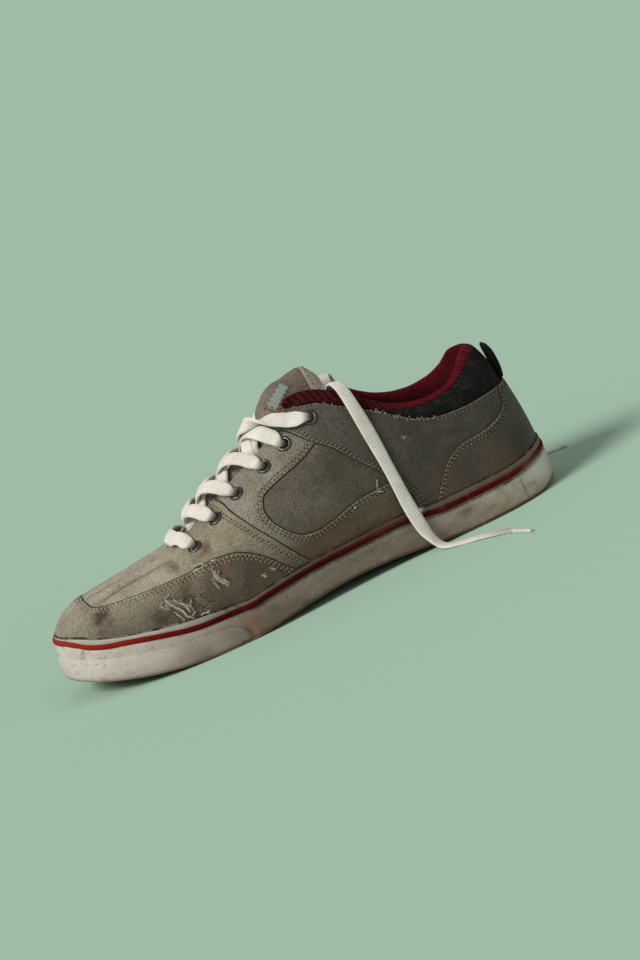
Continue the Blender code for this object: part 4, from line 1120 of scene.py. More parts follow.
bumper_top = smooth((0, 36), (10, 33), (20, 28), (32, 25), (60, 19), (88, 14.5), (101, 14))
# How far the red stripe's middle lies below the sidewall's top edge
stripe_drop = smooth((0, 3.4), (4, 3.4), (8, 4.2), (16, 5.6), (26, 5.3), (36, 4.5), (55, 4.9), (75, 5.9),
                     (85, 5.5), (95, 4.8), (115, 4.3), (200, 4.2), (210, 4.5), (220, 5.0), (230, 5.6),
                     (300, 5.5))


def ring_up(around, heights):
    """The share up the upper's ribs at heights: around holds one value a rib, heights a row for each."""
    ups = np.empty(heights.shape)
    for k, a in enumerate(around):
        column = sample(GRID, np.full(UP_ROWS, a), UPS)[:, 2]
        ups[k] = np.interp(heights[k], np.maximum.accumulate(column), UPS)
    return ups


def sole_ring_point(around, inset, rise):
    s, y = outline(around, inset)
    return np.stack([s, y, underside(s) + rise], -1)


def level_out(around):
    """The level direction out of the sole's outline."""
    inner, outer = (np.stack(outline(around, inset), -1) for inset in (1.0, 0.0))
    return np.concatenate([unit(outer - inner), np.zeros((len(around), 1))], 1)


TREAD_SHOWS = 0.7  # the tape hangs over the edge of the tread to this height


def foxing_wear(grid, station, side, below_stripe, past_crest):
    """Dirt under the stripe, a painted shadow along the crest's top edge, stain at the lower edge, and the
    sidewall's spots.
    """
    marks = np.zeros(grid.shape)
    marks[:, below_stripe, 0] = blend(85, 120, station) * 1.2
    # painted shadow in the gap where the crest meets the canvas
    marks[:, past_crest - 3 : past_crest + 1, 0] = 1.6
    marks[:, :3, 2] = np.array([0.9, 0.7, 0.35])
    for which, spot, height, wide, tall, shares in SOLE_SPOTS:
        near = np.exp(-(((station[:, None] - spot) / wide) ** 2) - (((grid[..., 2] - height) / tall) ** 2))
        marks += (near * (side == which)[:, None])[..., None] * np.array(shares)
    return np.clip(marks, 0, 1)


def make_foxing():
    """The rubber sidewall: main face, raised red stripe and crest tape, closed round the back."""
    around = sole_ring(110, 150, 80)
    station, across = outline(around, 0.0)
    side = np.sign(across)
    out = level_out(around)
    low = underside(station) + TREAD_SHOWS
    crest = foxing_top(station)
    stripe = crest - stripe_drop(station)
    gape = 1.3 * hump(station, 93, 7) * (side < 0) * (0.6 + 0.4 * np.sin(station * 1.1))
    gape += 0.5 * hump(station, 60, 9)
    # each row of the section: height, and how far it stands off the sidewall's plain face
    face = [(low, -0.9), (low + 0.25, -0.25), (low + 0.9, 0.0)]
    face += [(low + 0.9 + (stripe - 1.75 - low - 0.9) * t, 0.0) for t in np.linspace(0.1, 0.97, 9)]
    first_stripe = len(face)
    face += [(stripe - 1.5, -0.35), (stripe - 1.42, 0.2), (stripe - 1.15, 0.5), (stripe, 0.6),
             (stripe + 1.15, 0.5), (stripe + 1.42, 0.2), (stripe + 1.5, -0.1)]
    first_crest = len(face)
    face += [(stripe + 1.9, 0.1), (0.5 * (stripe + 1.5 + crest - 0.6), 0.25), (crest - 1.15, 0.25),
             (crest - 0.95, 0.15), (crest - 0.6, -0.25), (crest - 0.05, -0.6)]
    heights = np.stack([h for h, _ in face], 1)
    proud = np.array([p for _, p in face])
    on_last = sample(GRID, np.repeat(around[:, None], len(face), 1), ring_up(around, heights))
    on_outline = np.stack(outline(around, bumper_step(station)), -1)[:, None]
    half_way = 0.5 * (crest + underside(station))[:, None]
    share = blend(0, 1, (heights - half_way) / (crest[:, None] - half_way))[..., None]
    level = (on_last[..., :2] + out[:, None, :2] * 2.15) * share + on_outline * (1 - share)
    scuff = 0.12 * np.sin(around * 61)[:, None] * np.sin(heights * 0.9 + around[:, None] * 23)
    level += out[:, None, :2] * (proud + scuff + gape[:, None] * share[..., 0] ** 3)[..., None]
    wall = np.concatenate([level, heights[..., None]], 2)
    inner_heights = np.stack([crest, crest - 0.3, crest - 3, low + 1, low], 1)
    inner = sample(GRID, np.repeat(around[:, None], 5, 1), ring_up(around, inner_heights))
    inner[..., 2] = inner_heights
    inner += out[:, None] * np.array([1.0, 0.25, 0.2, 0.25, 0.3])[:, None]
    inner[:, 0] += out * gape[:, None]
    grid = np.concatenate([wall, inner], 1)
    count = grid.shape[1]
    rows = np.zeros(count, int)
    rows[first_stripe : first_crest - 1] = 1
    rows[first_crest - 1 :] = 2
    rows[:2] = 2
    rows[len(face) + 1 :] = 0
    marks = foxing_wear(grid, station, side, first_stripe - 1, len(face))
    span = travelled(np.stack([station, across], 1))
    girth = closed_girth(grid[80])
    around_length = np.concatenate([span, [span[-1] + 1.5]])
    uv = crossed_uv(around_length, girth)
    foxing = grid_piece("foxing_tape", grid, [TAPE, STRIPE, CREST], (True, True), uv,
                        finish_of=np.repeat(rows[None], len(around), 0), marks=marks)
    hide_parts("foxing")


# Spots on the sidewall: side, station, height, half length, half height, shares of dirt, pale and rust
SOLE_SPOTS = (
    (-1, 104, 9, 5, 5, (0.1, 0, 0.7)), (-1, 130, 8, 9, 4, (0.2, 0, 0.25)),
    (-1, 216, 23.2, 1.6, 1.3, (0, 1.2, 0)), (-1, 275.5, 10, 0.5, 6, (0.9, 0, 0)),
    (-1, 180, 15, 20, 3, (0.2, 0, 0.1)), (-1, 200, 24, 20, 2, (0.3, 0, 0.3)),
    (-1, 240, 12, 5, 3, (0.4, 0, 0.1)), (-1, 262, 14, 3, 2, (0.35, 0, 0)), (-1, 118, 11, 4, 2.5, (0.4, 0, 0)),
    # the pale spot at station 289 is a painted highlight on the heel's end
    (-1, 136, 6, 4, 1.5, (0.5, 0, 0)), (-1, 289, 12, 8, 5, (0.1, 0.9, 0)),
    (-1, 165, 25, 30, 1.5, (0.3, 0, 0.3)), (-1, 205, 19.4, 2.5, 0.6, (1, 0, 0)),
    (-1, 252, 7, 8, 2, (0.3, 0, 0.1)), (-1, 281, 8, 4, 1.2, (0.6, 0, 0)), (1, 110, 9, 8, 6, (0.1, 0, 0.6)),
    (1, 170, 14, 20, 4, (0.4, 0, 0.1)), (1, 240, 12, 12, 4, (0.4, 0, 0.2)), (1, 60, 24, 14, 2, (0.3, 0, 0.2)),
)


BUMPER_THICK, BUMPER_GIRTH = 1.45, 16.0
BUMPER_TAPERS, BUMPER_END = 88, 101.6  # stations
BUMPER_LAST_WAY = 1 + 1.15 / 15  # just short of its end


def make_bumper():
    """The second rubber layer round the toe, with a faint diamond print on its sides."""
    half = np.concatenate([even(0, 1, 100), np.linspace(1, BUMPER_LAST_WAY, 14)])
    around = np.concatenate([6 - half[:0:-1], half])
    station, _ = outline(around, 0.0)
    end = np.clip((station - BUMPER_TAPERS) / (BUMPER_END - BUMPER_TAPERS), 0, 1)
    fade = np.sqrt(np.clip(1 - end**2, 0.015, 1))
    low = underside(station)
    high = np.minimum(bumper_top(station) - low, 0.5 * (foxing_top(station) - low) + 1)
    tall = (high - TREAD_SHOWS) * fade
    # (how far in from the outline, share of the height) up its face
    section = [(BUMPER_THICK, 0.0), (0.55, 0.0), (0.2, 0.03), (0.05, 0.12)]
    section += [(0.0, share) for share in np.linspace(0.2, 0.86, 7)]
    section += [(0.06, 0.93), (0.3, 0.985), (0.75, 1.0), (BUMPER_THICK, 0.99)]
    thin = np.clip((BUMPER_END - station) / 2.5, 0.25, 1)
    rows = []
    soft = 1 - blend(64, 80, station)  # its top edge thins out round the toe
    for inset, part in section:
        inset = np.minimum(inset + 1.4 * soft * max((part - 0.5) / 0.5, 0) ** 1.5, max(inset, 1.4))
        rows.append(sole_ring_point(around, BUMPER_THICK - (BUMPER_THICK - inset) * thin,
                                    TREAD_SHOWS + tall * part))
    grid = np.stack(rows, 1)
    span = travelled(grid[:, 5])
    uv = crossed_uv(span, np.array([part for _, part in section]) * BUMPER_GIRTH)
    marks = np.zeros((*grid.shape[:2], 3))
    height = grid[..., 2] - low[:, None]
    marks[..., 1] = 0.16 * blend(75, 80, station)[:, None] * (height < 12) * (height > 2)
    marks[..., 0] = 0.6 * hump(height - tall[:, None], 1.9, 0.7) * blend(66, 84, station)[:, None]
    marks[..., 2] = 0.5 * hump(height, 0.5, 1.8) + 0.42 * blend(72, 92, station)[:, None]
    marks[..., 0] += 0.45 * blend(82, 98, station)[:, None]
    bumper = grid_piece("toe_bumper_tape", grid, [BUMPER_RUBBER], uv=uv, marks=np.clip(marks, 0, 1),
                        caps=True)
    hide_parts("toe_bumper")


# Stations of the flex grooves across the outsole
GROOVES = (52, 66, 80, 94, 122, 136, 238, 252, 278)


def make_outsole():
    """The brown outsole: its edge shows below the sidewall, and flex grooves cross its face."""
    around = sole_ring(80, 90, 50)
    rings = [(9, 0.3), (5, 0.06), (1.6, 0.0), (0.9, 0.12), (0.45, 0.35), (0.45, 0.9), (1.7, 1.3),
             (3.2, TREAD), (4.2, OUTSOLE - 1)]
    grid = np.stack([sole_ring_point(around, inset, rise) for inset, rise in rings], 1)
    middle = grid[:, 0].copy()
    spans = []
    for share in (0.66, 0.33, 0.0):
        row = middle.copy()
        row[:, 1] = centre_line(middle[:, 0]) + (middle[:, 1] - centre_line(middle[:, 0])) * share
        spans.append(row)
    top = grid[:, -1].copy()
    top[:, 1] = centre_line(top[:, 0])
    grid = np.concatenate([np.stack(spans[::-1], 1), grid, top[:, None]], 1)
    for station in GROOVES:
        depth = 1.1 * np.exp(-(((grid[:, :7, 0] - station) / 1.0) ** 4))
        grid[:, :7, 2] += depth
    sole = grid_piece("outsole_rubber", grid, [TREAD_RUBBER], (True, False), marks=np.zeros(grid.shape))
    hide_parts("outsole")


def make_insole():
    around = sole_ring(60, 60, 40)
    rise = OUTSOLE + 0.45
    rows = []
    for extra, level in ((30, rise), (0.6, rise), (0.45, rise + 2), (0.5, rise + 3.5), (0.9, rise + 4.5),
                         (1.5, rise + 5), (3, rise + 4.6), (6, rise + 4.1), (14, rise + 4.0)):
        inset = upper_inset(edge_point(*side_and_way(around))[0]) + CANVAS_THICK + min(extra, 20)
        rows.append(sole_ring_point(around, inset, level))
    grid = np.stack(rows, 1)
    ends = []
    for row in (0, -1):
        end = grid[:, row].copy()
        end[:, 1] = centre_line(end[:, 0])
        ends.append(end)
    grid = np.concatenate([ends[0][:, None], grid, ends[1][:, None]], 1)
    insole = grid_piece("footbed", grid, [FOOTBED], (True, False))
    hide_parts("insole")


# ---------------------------------------------------------------- the sewn panels

ONE_AROUND_AND_UP = (250, 90)  # about how many millimetres 1 of around and 1 of up measure


def knot_place(side, knot):
    """(around, up) of a knot: (station, height), or (station, across, None) on the toe's top, or
    (station, "end") or (station, "foot") on the upper's open edge or behind the sidewall. On the medial
    side around is negative, so that it grows from the medial side over the toe."""
    if len(knot) == 3:
        around, up = pin(side, (knot[0], centre_line(knot[0]) + side * knot[1]), (0, 1))
    elif knot[1] in ("end", "foot"):
        table = END_UPS if knot[1] == "end" else FOOT_UPS
        columns = side_columns(side)
        stations = sample(GRID, AROUND[columns], table[columns])[:, 0]
        order = np.argsort(AROUND[columns] * -side)
        around = np.interp(knot[0], np.maximum.accumulate(stations[order]), AROUND[columns][order])
        up = np.interp(around, AROUND[columns], table[columns])
    else:
        around, up = pin(side, knot)
    return around - 6 if side > 0 and around > 3 else around, up


def seam_line(side, knots, count=90):
    """A smooth, evenly spaced (around, up) line through knots."""
    line = np.array([knot_place(side, knot) for knot in knots])
    fine = rounded(line * ONE_AROUND_AND_UP, count * 4) / ONE_AROUND_AND_UP
    length = travelled(sample(GRID, fine[:, 0], fine[:, 1]))
    even_out = np.linspace(0, length[-1], count)
    line = read_along(even_out, length, fine)
    for _ in range(6):
        line[1:-1] = (line[:-2] + 2 * line[1:-1] + line[2:]) / 4
    return line


def edge_shares(count, length):
    """Shares of the way across a panel, close together by its edges so that they can roll over."""
    ends = np.array([0, 0.12, 0.3, 0.55, 0.9, 1.5]) / length
    return np.concatenate([ends, np.linspace(ends[-1] * 1.7, 1 - ends[-1] * 1.7, count - 12), 1 - ends[::-1]])


def panel_end(line, v):
    """The values of around at which a seam line crosses shares v of the way up the upper."""
    low, high = foot_up(line[:, 0]), end_up(line[:, 0])
    share = (line[:, 1] - low) / (high - low)
    order = np.argsort(share)
    return np.interp(v, share[order], line[order, 0])


def between_seams(first, last, u, v):
    """(around, up) over a panel that reaches from one seam to another: u is its shares along, v those up."""
    first, last = (panel_end(seam, v) for seam in (first, last))
    around = first + (last - first) * u[:, None]
    return around, foot_up(around) + (end_up(around) - foot_up(around)) * v


def under_seam(first, last, edge, count, v):
    """(around, up) over a strip that stands on the sidewall and ends at an edge above it, spaced evenly
    along both borders: count is its places along, v its shares up."""
    fine = np.linspace(first, last, 1500)
    high, low = (travelled(sample(GRID, fine, curve(fine))) for curve in (edge, foot_up))
    length = high + 0.4 * low
    columns = np.interp(np.linspace(0, length[-1], count), length, fine)
    around = np.repeat(columns[:, None], len(v), 1)
    top = np.minimum(edge(around), end_up(around))
    return around, foot_up(around) + np.maximum(top - foot_up(around), 0.004) * v


def line_up(line):
    """A seam line as the share up at any around."""
    order = np.argsort(line[:, 0])
    return lambda around: np.interp(around, line[order, 0], line[order, 1])


def raise_panel(name, around, up, lift, edges, stitched, finish, lines=(), holes=False, torn=0.0,
                pucker=0.16):
    """A panel of cloth over the shell. edges names its free borders, which roll over; stitched lists (border,
    distances in from it) of its stitch rows, which pull it down; lines lists (border, the lift of the cloth
    that it lies on) where a painted shadow line lies under the panel's edge; torn deepens the tears."""
    base = skin(around, up)
    far = border_distances(base)
    edge = np.min([far[e] for e in edges], axis=0)
    roll = 1 - np.sqrt(np.clip(1 - (1 - np.clip(edge / 0.8, 0, 1)) ** 2, 0, 1))
    height = lift - 1.15 * roll
    for border, rows in stitched:
        span = np.cumsum(np.linalg.norm(np.diff(base, axis=0, prepend=base[:1]), axis=2), 0)
        if border in ("first", "last"):
            span = np.cumsum(np.linalg.norm(np.diff(base, axis=1, prepend=base[:, :1]), axis=2), 1)
        wave = np.sin(span * 2 * np.pi / 5.3 + 1.3 * np.sin(span / 11))
        height += pucker * wave * hump(far[border] - rows[-1], 1.2, 2.2)
        for row in rows:
            height -= 0.32 * hump(far[border], row, 0.55)
    marks = wear_marks(base)
    if torn:
        gone = tear_mask(base)
        height -= torn * gone
        marks[..., 0] += gone
        marks[..., 1] *= 1 - gone
    top = skin(around, up, height)
    bottom = skin(around, up, -0.7)
    for border, under in lines:
        cut_at = {"first": (0, slice(None)), "last": (-1, slice(None)), "low": (slice(None), 0),
                  "high": (slice(None), -1)}
        a, u = around[cut_at[border]], up[cut_at[border]]
        GROOVE_RUNS.append(skin(a, u, under))
        GROOVE_OUTS.append(sample(NORMAL, a, u))
    # painted shade where the panel's edge rolls under, and a painted highlight along the roll just inside it
    marks[..., 0] = np.clip(marks[..., 0] + 0.9 * hump(edge, 0, 0.5) * (edge < 0.45), 0, 1)
    marks[..., 1] = np.clip(marks[..., 1] + 0.55 * hump(edge, 0.9, 0.45), 0, 1)
    keep = round_eyelets(base, EYELET_CUT) if holes else None
    panel = cloth_layer(name, top, bottom, finish, marks, keep=keep)
    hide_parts("upper")
    for border, rows in stitched:
        for row in rows:
            lay_stitches(around, up, far[border], border, row, lift - 0.3)
    return panel


STITCH_RUNS, STITCH_OUTS, GROOVE_RUNS, GROOVE_OUTS = [], [], [], []

# Tears in the mudguard: side, station, height, half length, half height
TEARS = ((-1, 79.5, 31.0, 5.5, 4.2), (-1, 71, 33.5, 2.6, 4.0), (-1, 86, 27.5, 3.5, 2.0),
         (-1, 99, 37.5, 1.6, 2.2), (-1, 66.8, 37.5, 2.0, 1.6), (-1, 91.5, 45.5, 1.0, 1.6),
         (1, 84, 30, 3.0, 2.4))


def tear_mask(base):
    """1 inside a tear and 0 outside it, with a ragged edge."""
    side = np.sign(base[..., 1] - centre_line(base[..., 0]))
    s, z = base[..., 0], base[..., 2]
    rough = 0.35 * np.sin(s * 2.9 + z * 1.7) + 0.3 * np.sin(s * 1.3 - z * 3.1)
    rough += 0.2 * np.sin(s * 5.1 + z * 4.3)
    mask = np.zeros(s.shape)
    for which, station, height, wide, tall in TEARS:
        far = np.hypot((s - station) / wide, (z - height) / tall) + rough
        mask = np.maximum(mask, (1 - blend(0.75, 1.15, far)) * (side == which))
    return mask


def lay_stitches(around, up, far, border, inset, lift):
    """Notes the path of one stitch row, which runs at a distance in from a border."""
    low_first = border in ("low", "first")
    rows = range(far.shape[0]) if border in ("low", "high") else range(far.shape[1])
    path = []
    for k in rows:
        f, a, u = (t[k] if border in ("low", "high") else t[:, k] for t in (far, around, up))
        order = slice(None) if low_first else slice(None, None, -1)
        f, a, u = f[order], a[order], u[order]
        if f[-1] > inset:
            path.append((np.interp(inset, f, a), np.interp(inset, f, u)))
    path = np.array(path)
    STITCH_RUNS.append(skin(path[:, 0], path[:, 1], lift))
    STITCH_OUTS.append(sample(NORMAL, path[:, 0], path[:, 1]))


# Seams, as knots on either side
MUDGUARD_EDGE = ((27.2, 0.0, None), (26.4, 4, None), (26.6, 9, None), (27.6, 13, None), (29.5, 47.4),
                 (33.8, 46.8), (42.5, 46.3), (57, 45.8), (76.5, 46.4), (96, 48.0), (106, 48.3), (113.1, 46.9),
                 (119.7, 43.6), (126.8, 38), (132.8, 30.7), (138, 25.6), (141, "foot"))
VAMP_REAR = ((115.5, "end"), (118.3, 71.2), (120.6, 65.6), (125.3, 58.1), (130.9, 49.9), (136.8, 41.3),
             (142.7, 32.5), (147.5, 25.9), (150.5, "foot"))
REAR_SEAM = ((158.5, "end"), (163, 94.2), (167.9, 92), (174.9, 84.8), (178.6, 81.4), (184.6, 76.6),
             (194.7, 64.1), (204.5, 52.1), (209.4, 44.3), (214.7, 35.3), (216.6, 28.8), (216.4, 25.7),
             (216, "foot"))
COUNTER_EDGE = ((223.5, "foot"), (226, 22.2), (231, 29), (234.7, 34), (239.6, 40), (244.8, 43.9),
                (249.5, 46.3), (254.6, 47.3), (264.8, 47.8), (270.1, 48.3), (275.3, 49.6), (279.6, 51.5),
                (283, 53.8), (284.6, 57), (285.6, 62.7), (286.2, "end"))
# Side window: a place on its outline, and the place of the panel's outer edge that it is matched to
WINDOW = (
    ((185.5, 84.2), (194, "end")), ((177.7, 81.4), (184, "end")), ((164.9, 75.4), (168, "end")),
    ((154.9, 72.6), (155, "end")), ((145.2, 69.7), (141, "end")), ((139.6, 67.2), (129, "end")),
    ((137, 62.6), (118, "end")), ((136.4, 59.1), (121, 59)), ((137.9, 53.5), (125.5, 51.5)),
    ((141.6, 48.0), (130.5, 43)), ((146.6, 42.7), (136.5, 34)), ((151.7, 39.7), (143, "foot")),
    ((159.7, 38.5), (155, "foot")), ((166.6, 39.3), (165, "foot")), ((174.6, 40.9), (174, "foot")),
    ((184.7, 43.4), (185, "foot")), ((194.7, 44.2), (196, "foot")), ((208.6, 44.8), (211, "foot")),
    ((215.5, 45), (221, "foot")),
)
DOUBLE_ROW = (2.2, 4.0)


def window_lines(side, count):
    """The side window's outline and the panel's outer edge, matched knot by knot."""
    inner, outer = (np.array([knot_place(side, pair[k]) for pair in WINDOW]) for k in (0, 1))
    at = travelled(inner * ONE_AROUND_AND_UP)
    here = np.linspace(0, 1, count)
    outer = np.stack([smooth(*zip(at / at[-1], column))(here) for column in outer.T], 1)
    return rounded(inner * ONE_AROUND_AND_UP, count) / ONE_AROUND_AND_UP, outer


def both_seams(knots, past_heel=False):
    """A seam on the lateral and on the medial side, where around goes down past 0 at the toe or up past 3
    at the heel."""
    lateral, medial = (seam_line(side, knots) for side in (-1, 1))
    medial[:, 0] += 6 * past_heel
    return lateral, medial


def make_vamp():
    """From the medial seam over the toe to the lateral one."""
    lateral, medial = both_seams(VAMP_REAR)
    around, up = between_seams(medial, lateral, edge_shares(200, 260), edge_shares(80, 75))
    raise_panel("vamp_panel", around, up, 0.9, ("first", "last", "high"),
                (("first", (3.6, 5.3)), ("last", (3.6, 5.3)), ("high", (2.4,))), VAMP,
                (("first", 0.45), ("last", 0.45)), holes=True)


def make_mudguard():
    """The torn strip round the toe."""
    lateral, medial = both_seams(MUDGUARD_EDGE)
    edge = line_up(np.concatenate([medial, lateral]))
    around, up = under_seam(medial[-1, 0], lateral[-1, 0], edge, 320, edge_shares(38, 22))
    raise_panel("mudguard_panel", around, up, 1.5, ("high",), (("high", (1.9, 3.8)),), MUDGUARD,
                (("high", 1.0),), torn=1.5)


def make_front_quarters():
    """The panels with the eyelets, round the side windows."""
    for word, side in (("lateral", -1), ("medial", 1)):
        inner, outer = window_lines(side, 170)
        v = edge_shares(36, 22)
        around = outer[:, :1] + (inner[:, :1] - outer[:, :1]) * v
        up = outer[:, 1:] + (inner[:, 1:] - outer[:, 1:]) * v
        raise_panel(f"front_quarter_{word}", around, up, 0.35, ("high", "low"), (("high", (1.6, 3.4)),),
                    TWILL, (("high", -0.2),), holes=True)


def make_rear_quarter():
    """Round the heel from one seam to the other."""
    lateral, medial = both_seams(REAR_SEAM, past_heel=True)
    around, up = between_seams(lateral, medial, edge_shares(130, 300), edge_shares(46, 60))
    raise_panel("rear_quarter_panel", around, up, 0.95, ("first", "last", "high"),
                (("first", DOUBLE_ROW), ("last", DOUBLE_ROW), ("high", (3.2,))), REAR,
                (("first", 0.3), ("last", 0.3)), holes=True)


def make_heel_counter():
    """The strip over the rear quarter, round the heel."""
    lateral, medial = both_seams(COUNTER_EDGE, past_heel=True)
    edge = line_up(np.concatenate([lateral, medial]))
    around, up = under_seam(lateral[0, 0], medial[0, 0], edge, 170, edge_shares(34, 30))
    raise_panel("heel_counter_panel", around, up, 1.5, ("high",), (("high", (1.9, 3.5)),), COUNTER,
                (("high", 1.0),))


# ---------------------------------------------------------------- tongue, collar, tab

def last_height(station, across, sunk=0.0):
    """Height of the upper's outside, or of a surface sunk below it, over places from the ball back."""
    half = side_half_width(station) - upper_inset(station) - sunk
    power, wide = roundness(station), widest_height(station)
    up_by = np.ones(np.broadcast(station, across).shape)
    for _ in range(12):
        middle = centre_line(station) * (1 - CROWN_SHIFT * up_by**2)
        part = np.minimum(np.abs(across - middle) / half, 1)
        up_by = (1 - part**power) ** (1 / power)
    return wide + (ridge(station) - sunk - wide) * up_by


def throat_middle(station):
    return (1 - CROWN_SHIFT) * centre_line(station)


def tongue_height(station, across):
    """Height of the tongue's top face: sunk under the facings, proud between them and free past the top
    eyelets."""
    half, crown, middle = tongue_half_width(station), tongue_ridge(station), throat_middle(station)
    part = np.minimum(np.abs(across - middle) / half, 1)
    on_last = np.maximum(station, BALL_STATION)
    root = 3.4 * (1 - blend(82, 96, station))
    bed = last_height(on_last, across, TONGUE_SUNK) - root
    flat = last_height(on_last, middle, TONGUE_SUNK) - root
    bulge = np.maximum(1 - ((across - middle) / (throat_half_gap(station) - 2.6)) ** 2, 0)
    held = bed + np.maximum(crown - flat, 0) * bulge
    free = crown - 15 * (1 - (1 - part**2.4) ** (1 / 2.4))
    share = blend(166, 176, station)
    return held * (1 - share) + free * share


def tongue_face(station, part):
    """Places on the tongue's top face: part is the share of its half width from its middle."""
    tip = np.sqrt(np.clip(1 - (np.clip(station - 191.5, 0, None) / 6.6) ** 2, 0.02, 1))
    half = tongue_half_width(station) * (0.72 + 0.28 * tip)
    across = throat_middle(station) + part * half
    thick = tongue_thickness(station) * tip * (1 - 0.45 * np.abs(part) ** 3)
    edge = 0.5 * thick * (1 - np.sqrt(np.clip(1 - np.abs(part) ** 7, 0, 1)))
    height = tongue_height(np.minimum(station, 198), across) - edge
    # the padding puffs out where it comes free of the lace
    puff = 6.5 * blend(151, 160, station) * (1 - blend(163, 181, station))
    height += puff * np.clip(1 - (part / 1.05) ** 2, 0, 1)
    free = blend(168, 178, station)
    height -= free * (0.5 * tongue_thickness(station) * (1 - tip))
    # a welt and soft dents where the padding is quilted down
    height -= free * 0.55 * hump(station, 189.5, 0.8) * (1 - part**8)
    height += free * 0.35 * hump(station, 191.3, 1.2)
    height -= free * 0.5 * np.exp(-(((station - 176) / 4) ** 2) - (((part - 0.45) / 0.3) ** 2))
    return np.stack(np.broadcast_arrays(station, across, height), -1), thick, edge


# The label's corners as (towards the heel, up), viewed 6 degrees off square to the side and 11 from above
LABEL_CORNERS = np.array([[[163.4, 113.6], [169.2, 108.4]], [[176.8, 122.4], [181.0, 117.8]]])
VIEWED_ACROSS, VIEWED_UP = (0.9945, -0.1045), (0.982, 0.191)  # cosines and sines of those two angles


def make_tongue():
    """The padded tongue, with a welt before its tip."""
    stations = np.concatenate([np.arange(82, 166, 2.0), np.arange(166, 194, 0.8),
                               np.linspace(194.2, 198.1, 9)])
    parts = np.sin(np.linspace(-np.pi / 2, np.pi / 2, 45))
    s, p = np.meshgrid(stations, parts, indexing="ij")
    top, thick, edge = tongue_face(s, p)
    bottom = top.copy()
    bottom[..., 2] -= np.maximum(thick - 2 * edge, 0.02)
    grid = np.concatenate([top, bottom[:, ::-1]], 1)
    marks = np.zeros((*grid.shape[:2], 3))
    marks[..., 2] = 0.42 * blend(166, 176, grid[..., 0]) * (1 - blend(187, 191, grid[..., 0]))
    marks[..., 1] = 0.85 * blend(189.8, 190.6, grid[..., 0])
    marks[..., 0] = 0.6 * hump(grid[..., 0], 189.6, 0.5) + 0.35 * (1 - blend(150, 172, grid[..., 0]))
    uv_grid = np.concatenate([grid, grid[:, :1]], 1)
    uv = np.stack([uv_grid[..., 0], uv_grid[..., 1] * 1.1], -1)
    tongue = grid_piece("tongue_padded", grid, [TONGUE_CLOTH], (False, True), uv, marks=np.clip(marks, 0, 1),
                        caps=True)
    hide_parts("tongue")
    for at in (188.6, 192.6):
        part = np.linspace(-0.93, 0.93, 50)
        TONGUE_RUNS.append(tongue_face(np.full(50, at), part)[0] + (0, 0, 0.12))
        TONGUE_OUTS.append(np.tile([0.2, 0.0, 1.0], (50, 1)))


def make_label():
    """A plain woven label on the tongue's outer half, upright to a viewer at the lateral side."""
    rows, columns = np.meshgrid(np.linspace(0, 1, 24), np.linspace(0, 1, 12), indexing="ij")
    r, c = rows[..., None], columns[..., None]
    goal = (1 - r) * (1 - c) * LABEL_CORNERS[0, 0] + (1 - r) * c * LABEL_CORNERS[0, 1]
    goal += r * (1 - c) * LABEL_CORNERS[1, 0] + r * c * LABEL_CORNERS[1, 1]
    near_s, near_p = np.meshgrid(np.arange(158, 190, 0.3), np.linspace(-1, 0.1, 160), indexing="ij")
    near = tongue_face(near_s, near_p)[0].reshape(-1, 3)
    seen = np.stack([VIEWED_ACROSS[0] * near[:, 0] + VIEWED_ACROSS[1] * near[:, 1],
                     VIEWED_UP[0] * near[:, 2] + VIEWED_UP[1] * (near[:, 1] + 50)], 1)

    def on_tongue(goal):
        misses = np.linalg.norm(seen[None] - goal.reshape(-1, 1, 2), axis=2) + 0.03 * near[None, :, 1]
        return near[misses.argmin(1)].reshape(*goal.shape[:-1], 3)

    face = on_tongue(goal)
    for _ in range(12):
        face[1:-1] = (face[:-2] + 2 * face[1:-1] + face[2:]) / 4
        face[:, 1:-1] = (face[:, :-2] + 2 * face[:, 1:-1] + face[:, 2:]) / 4
    out = np.array([0.0, -0.55, 0.83])
    ramp = np.minimum(np.minimum(rows, 1 - rows) * 16, np.minimum(columns, 1 - columns) * 8)
    face = face + out * (0.35 + 0.5 * np.sqrt(np.clip(ramp / 0.7, 0, 1)))[..., None]
    label = cloth_layer("tongue_label", face, face - out * 0.9, LABEL, np.zeros(face.shape),
                        uv=np.stack([rows * 16, columns * 8], -1))
    for row in (face[1, 1:-1], face[-2, 1:-1], face[1:-1, 1], face[1:-1, -2]):
        TONGUE_RUNS.append(row + out * 0.1)
        TONGUE_OUTS.append(np.tile(out, (len(row), 1)))
    for row in (goal[0, 1:-1] + (-0.9, -0.5), goal[:9, -1] + (0.4, -0.9)):  # red bar tacks below the label
        RED_RUNS.append(on_tongue(row) + out * 0.25)
        RED_OUTS.append(np.tile(out, (len(row), 1)))


TONGUE_RUNS, TONGUE_OUTS, RED_RUNS, RED_OUTS = [], [], [], []


def wall_places(around, proud, height):
    """Places off the upper's outside, carried straight up past its shoulder: around holds one value a
    column, proud and height a row for each."""
    grid = np.empty((*height.shape, 3))
    outs = level_out(around)
    for k, a in enumerate(around):
        points = rib(float(a))
        z = np.maximum.accumulate(points[:, 2])
        shoulder = z[6] + 0.88 * (z[-1] - z[6])
        at = np.minimum(height[k], shoulder)
        tip, over = (read_along(at + d, z, points[:, :2]) for d in (0, 1))
        lean = np.hypot(1, np.linalg.norm(over - tip, axis=1))
        leaning = (proud[k] <= -2.8) & (height[k] <= height[k][0])
        off = np.where(leaning, proud[k] * lean, proud[k])
        grid[k] = np.concatenate([tip, height[k][:, None]], 1) + outs[k] * off[:, None]
    return grid


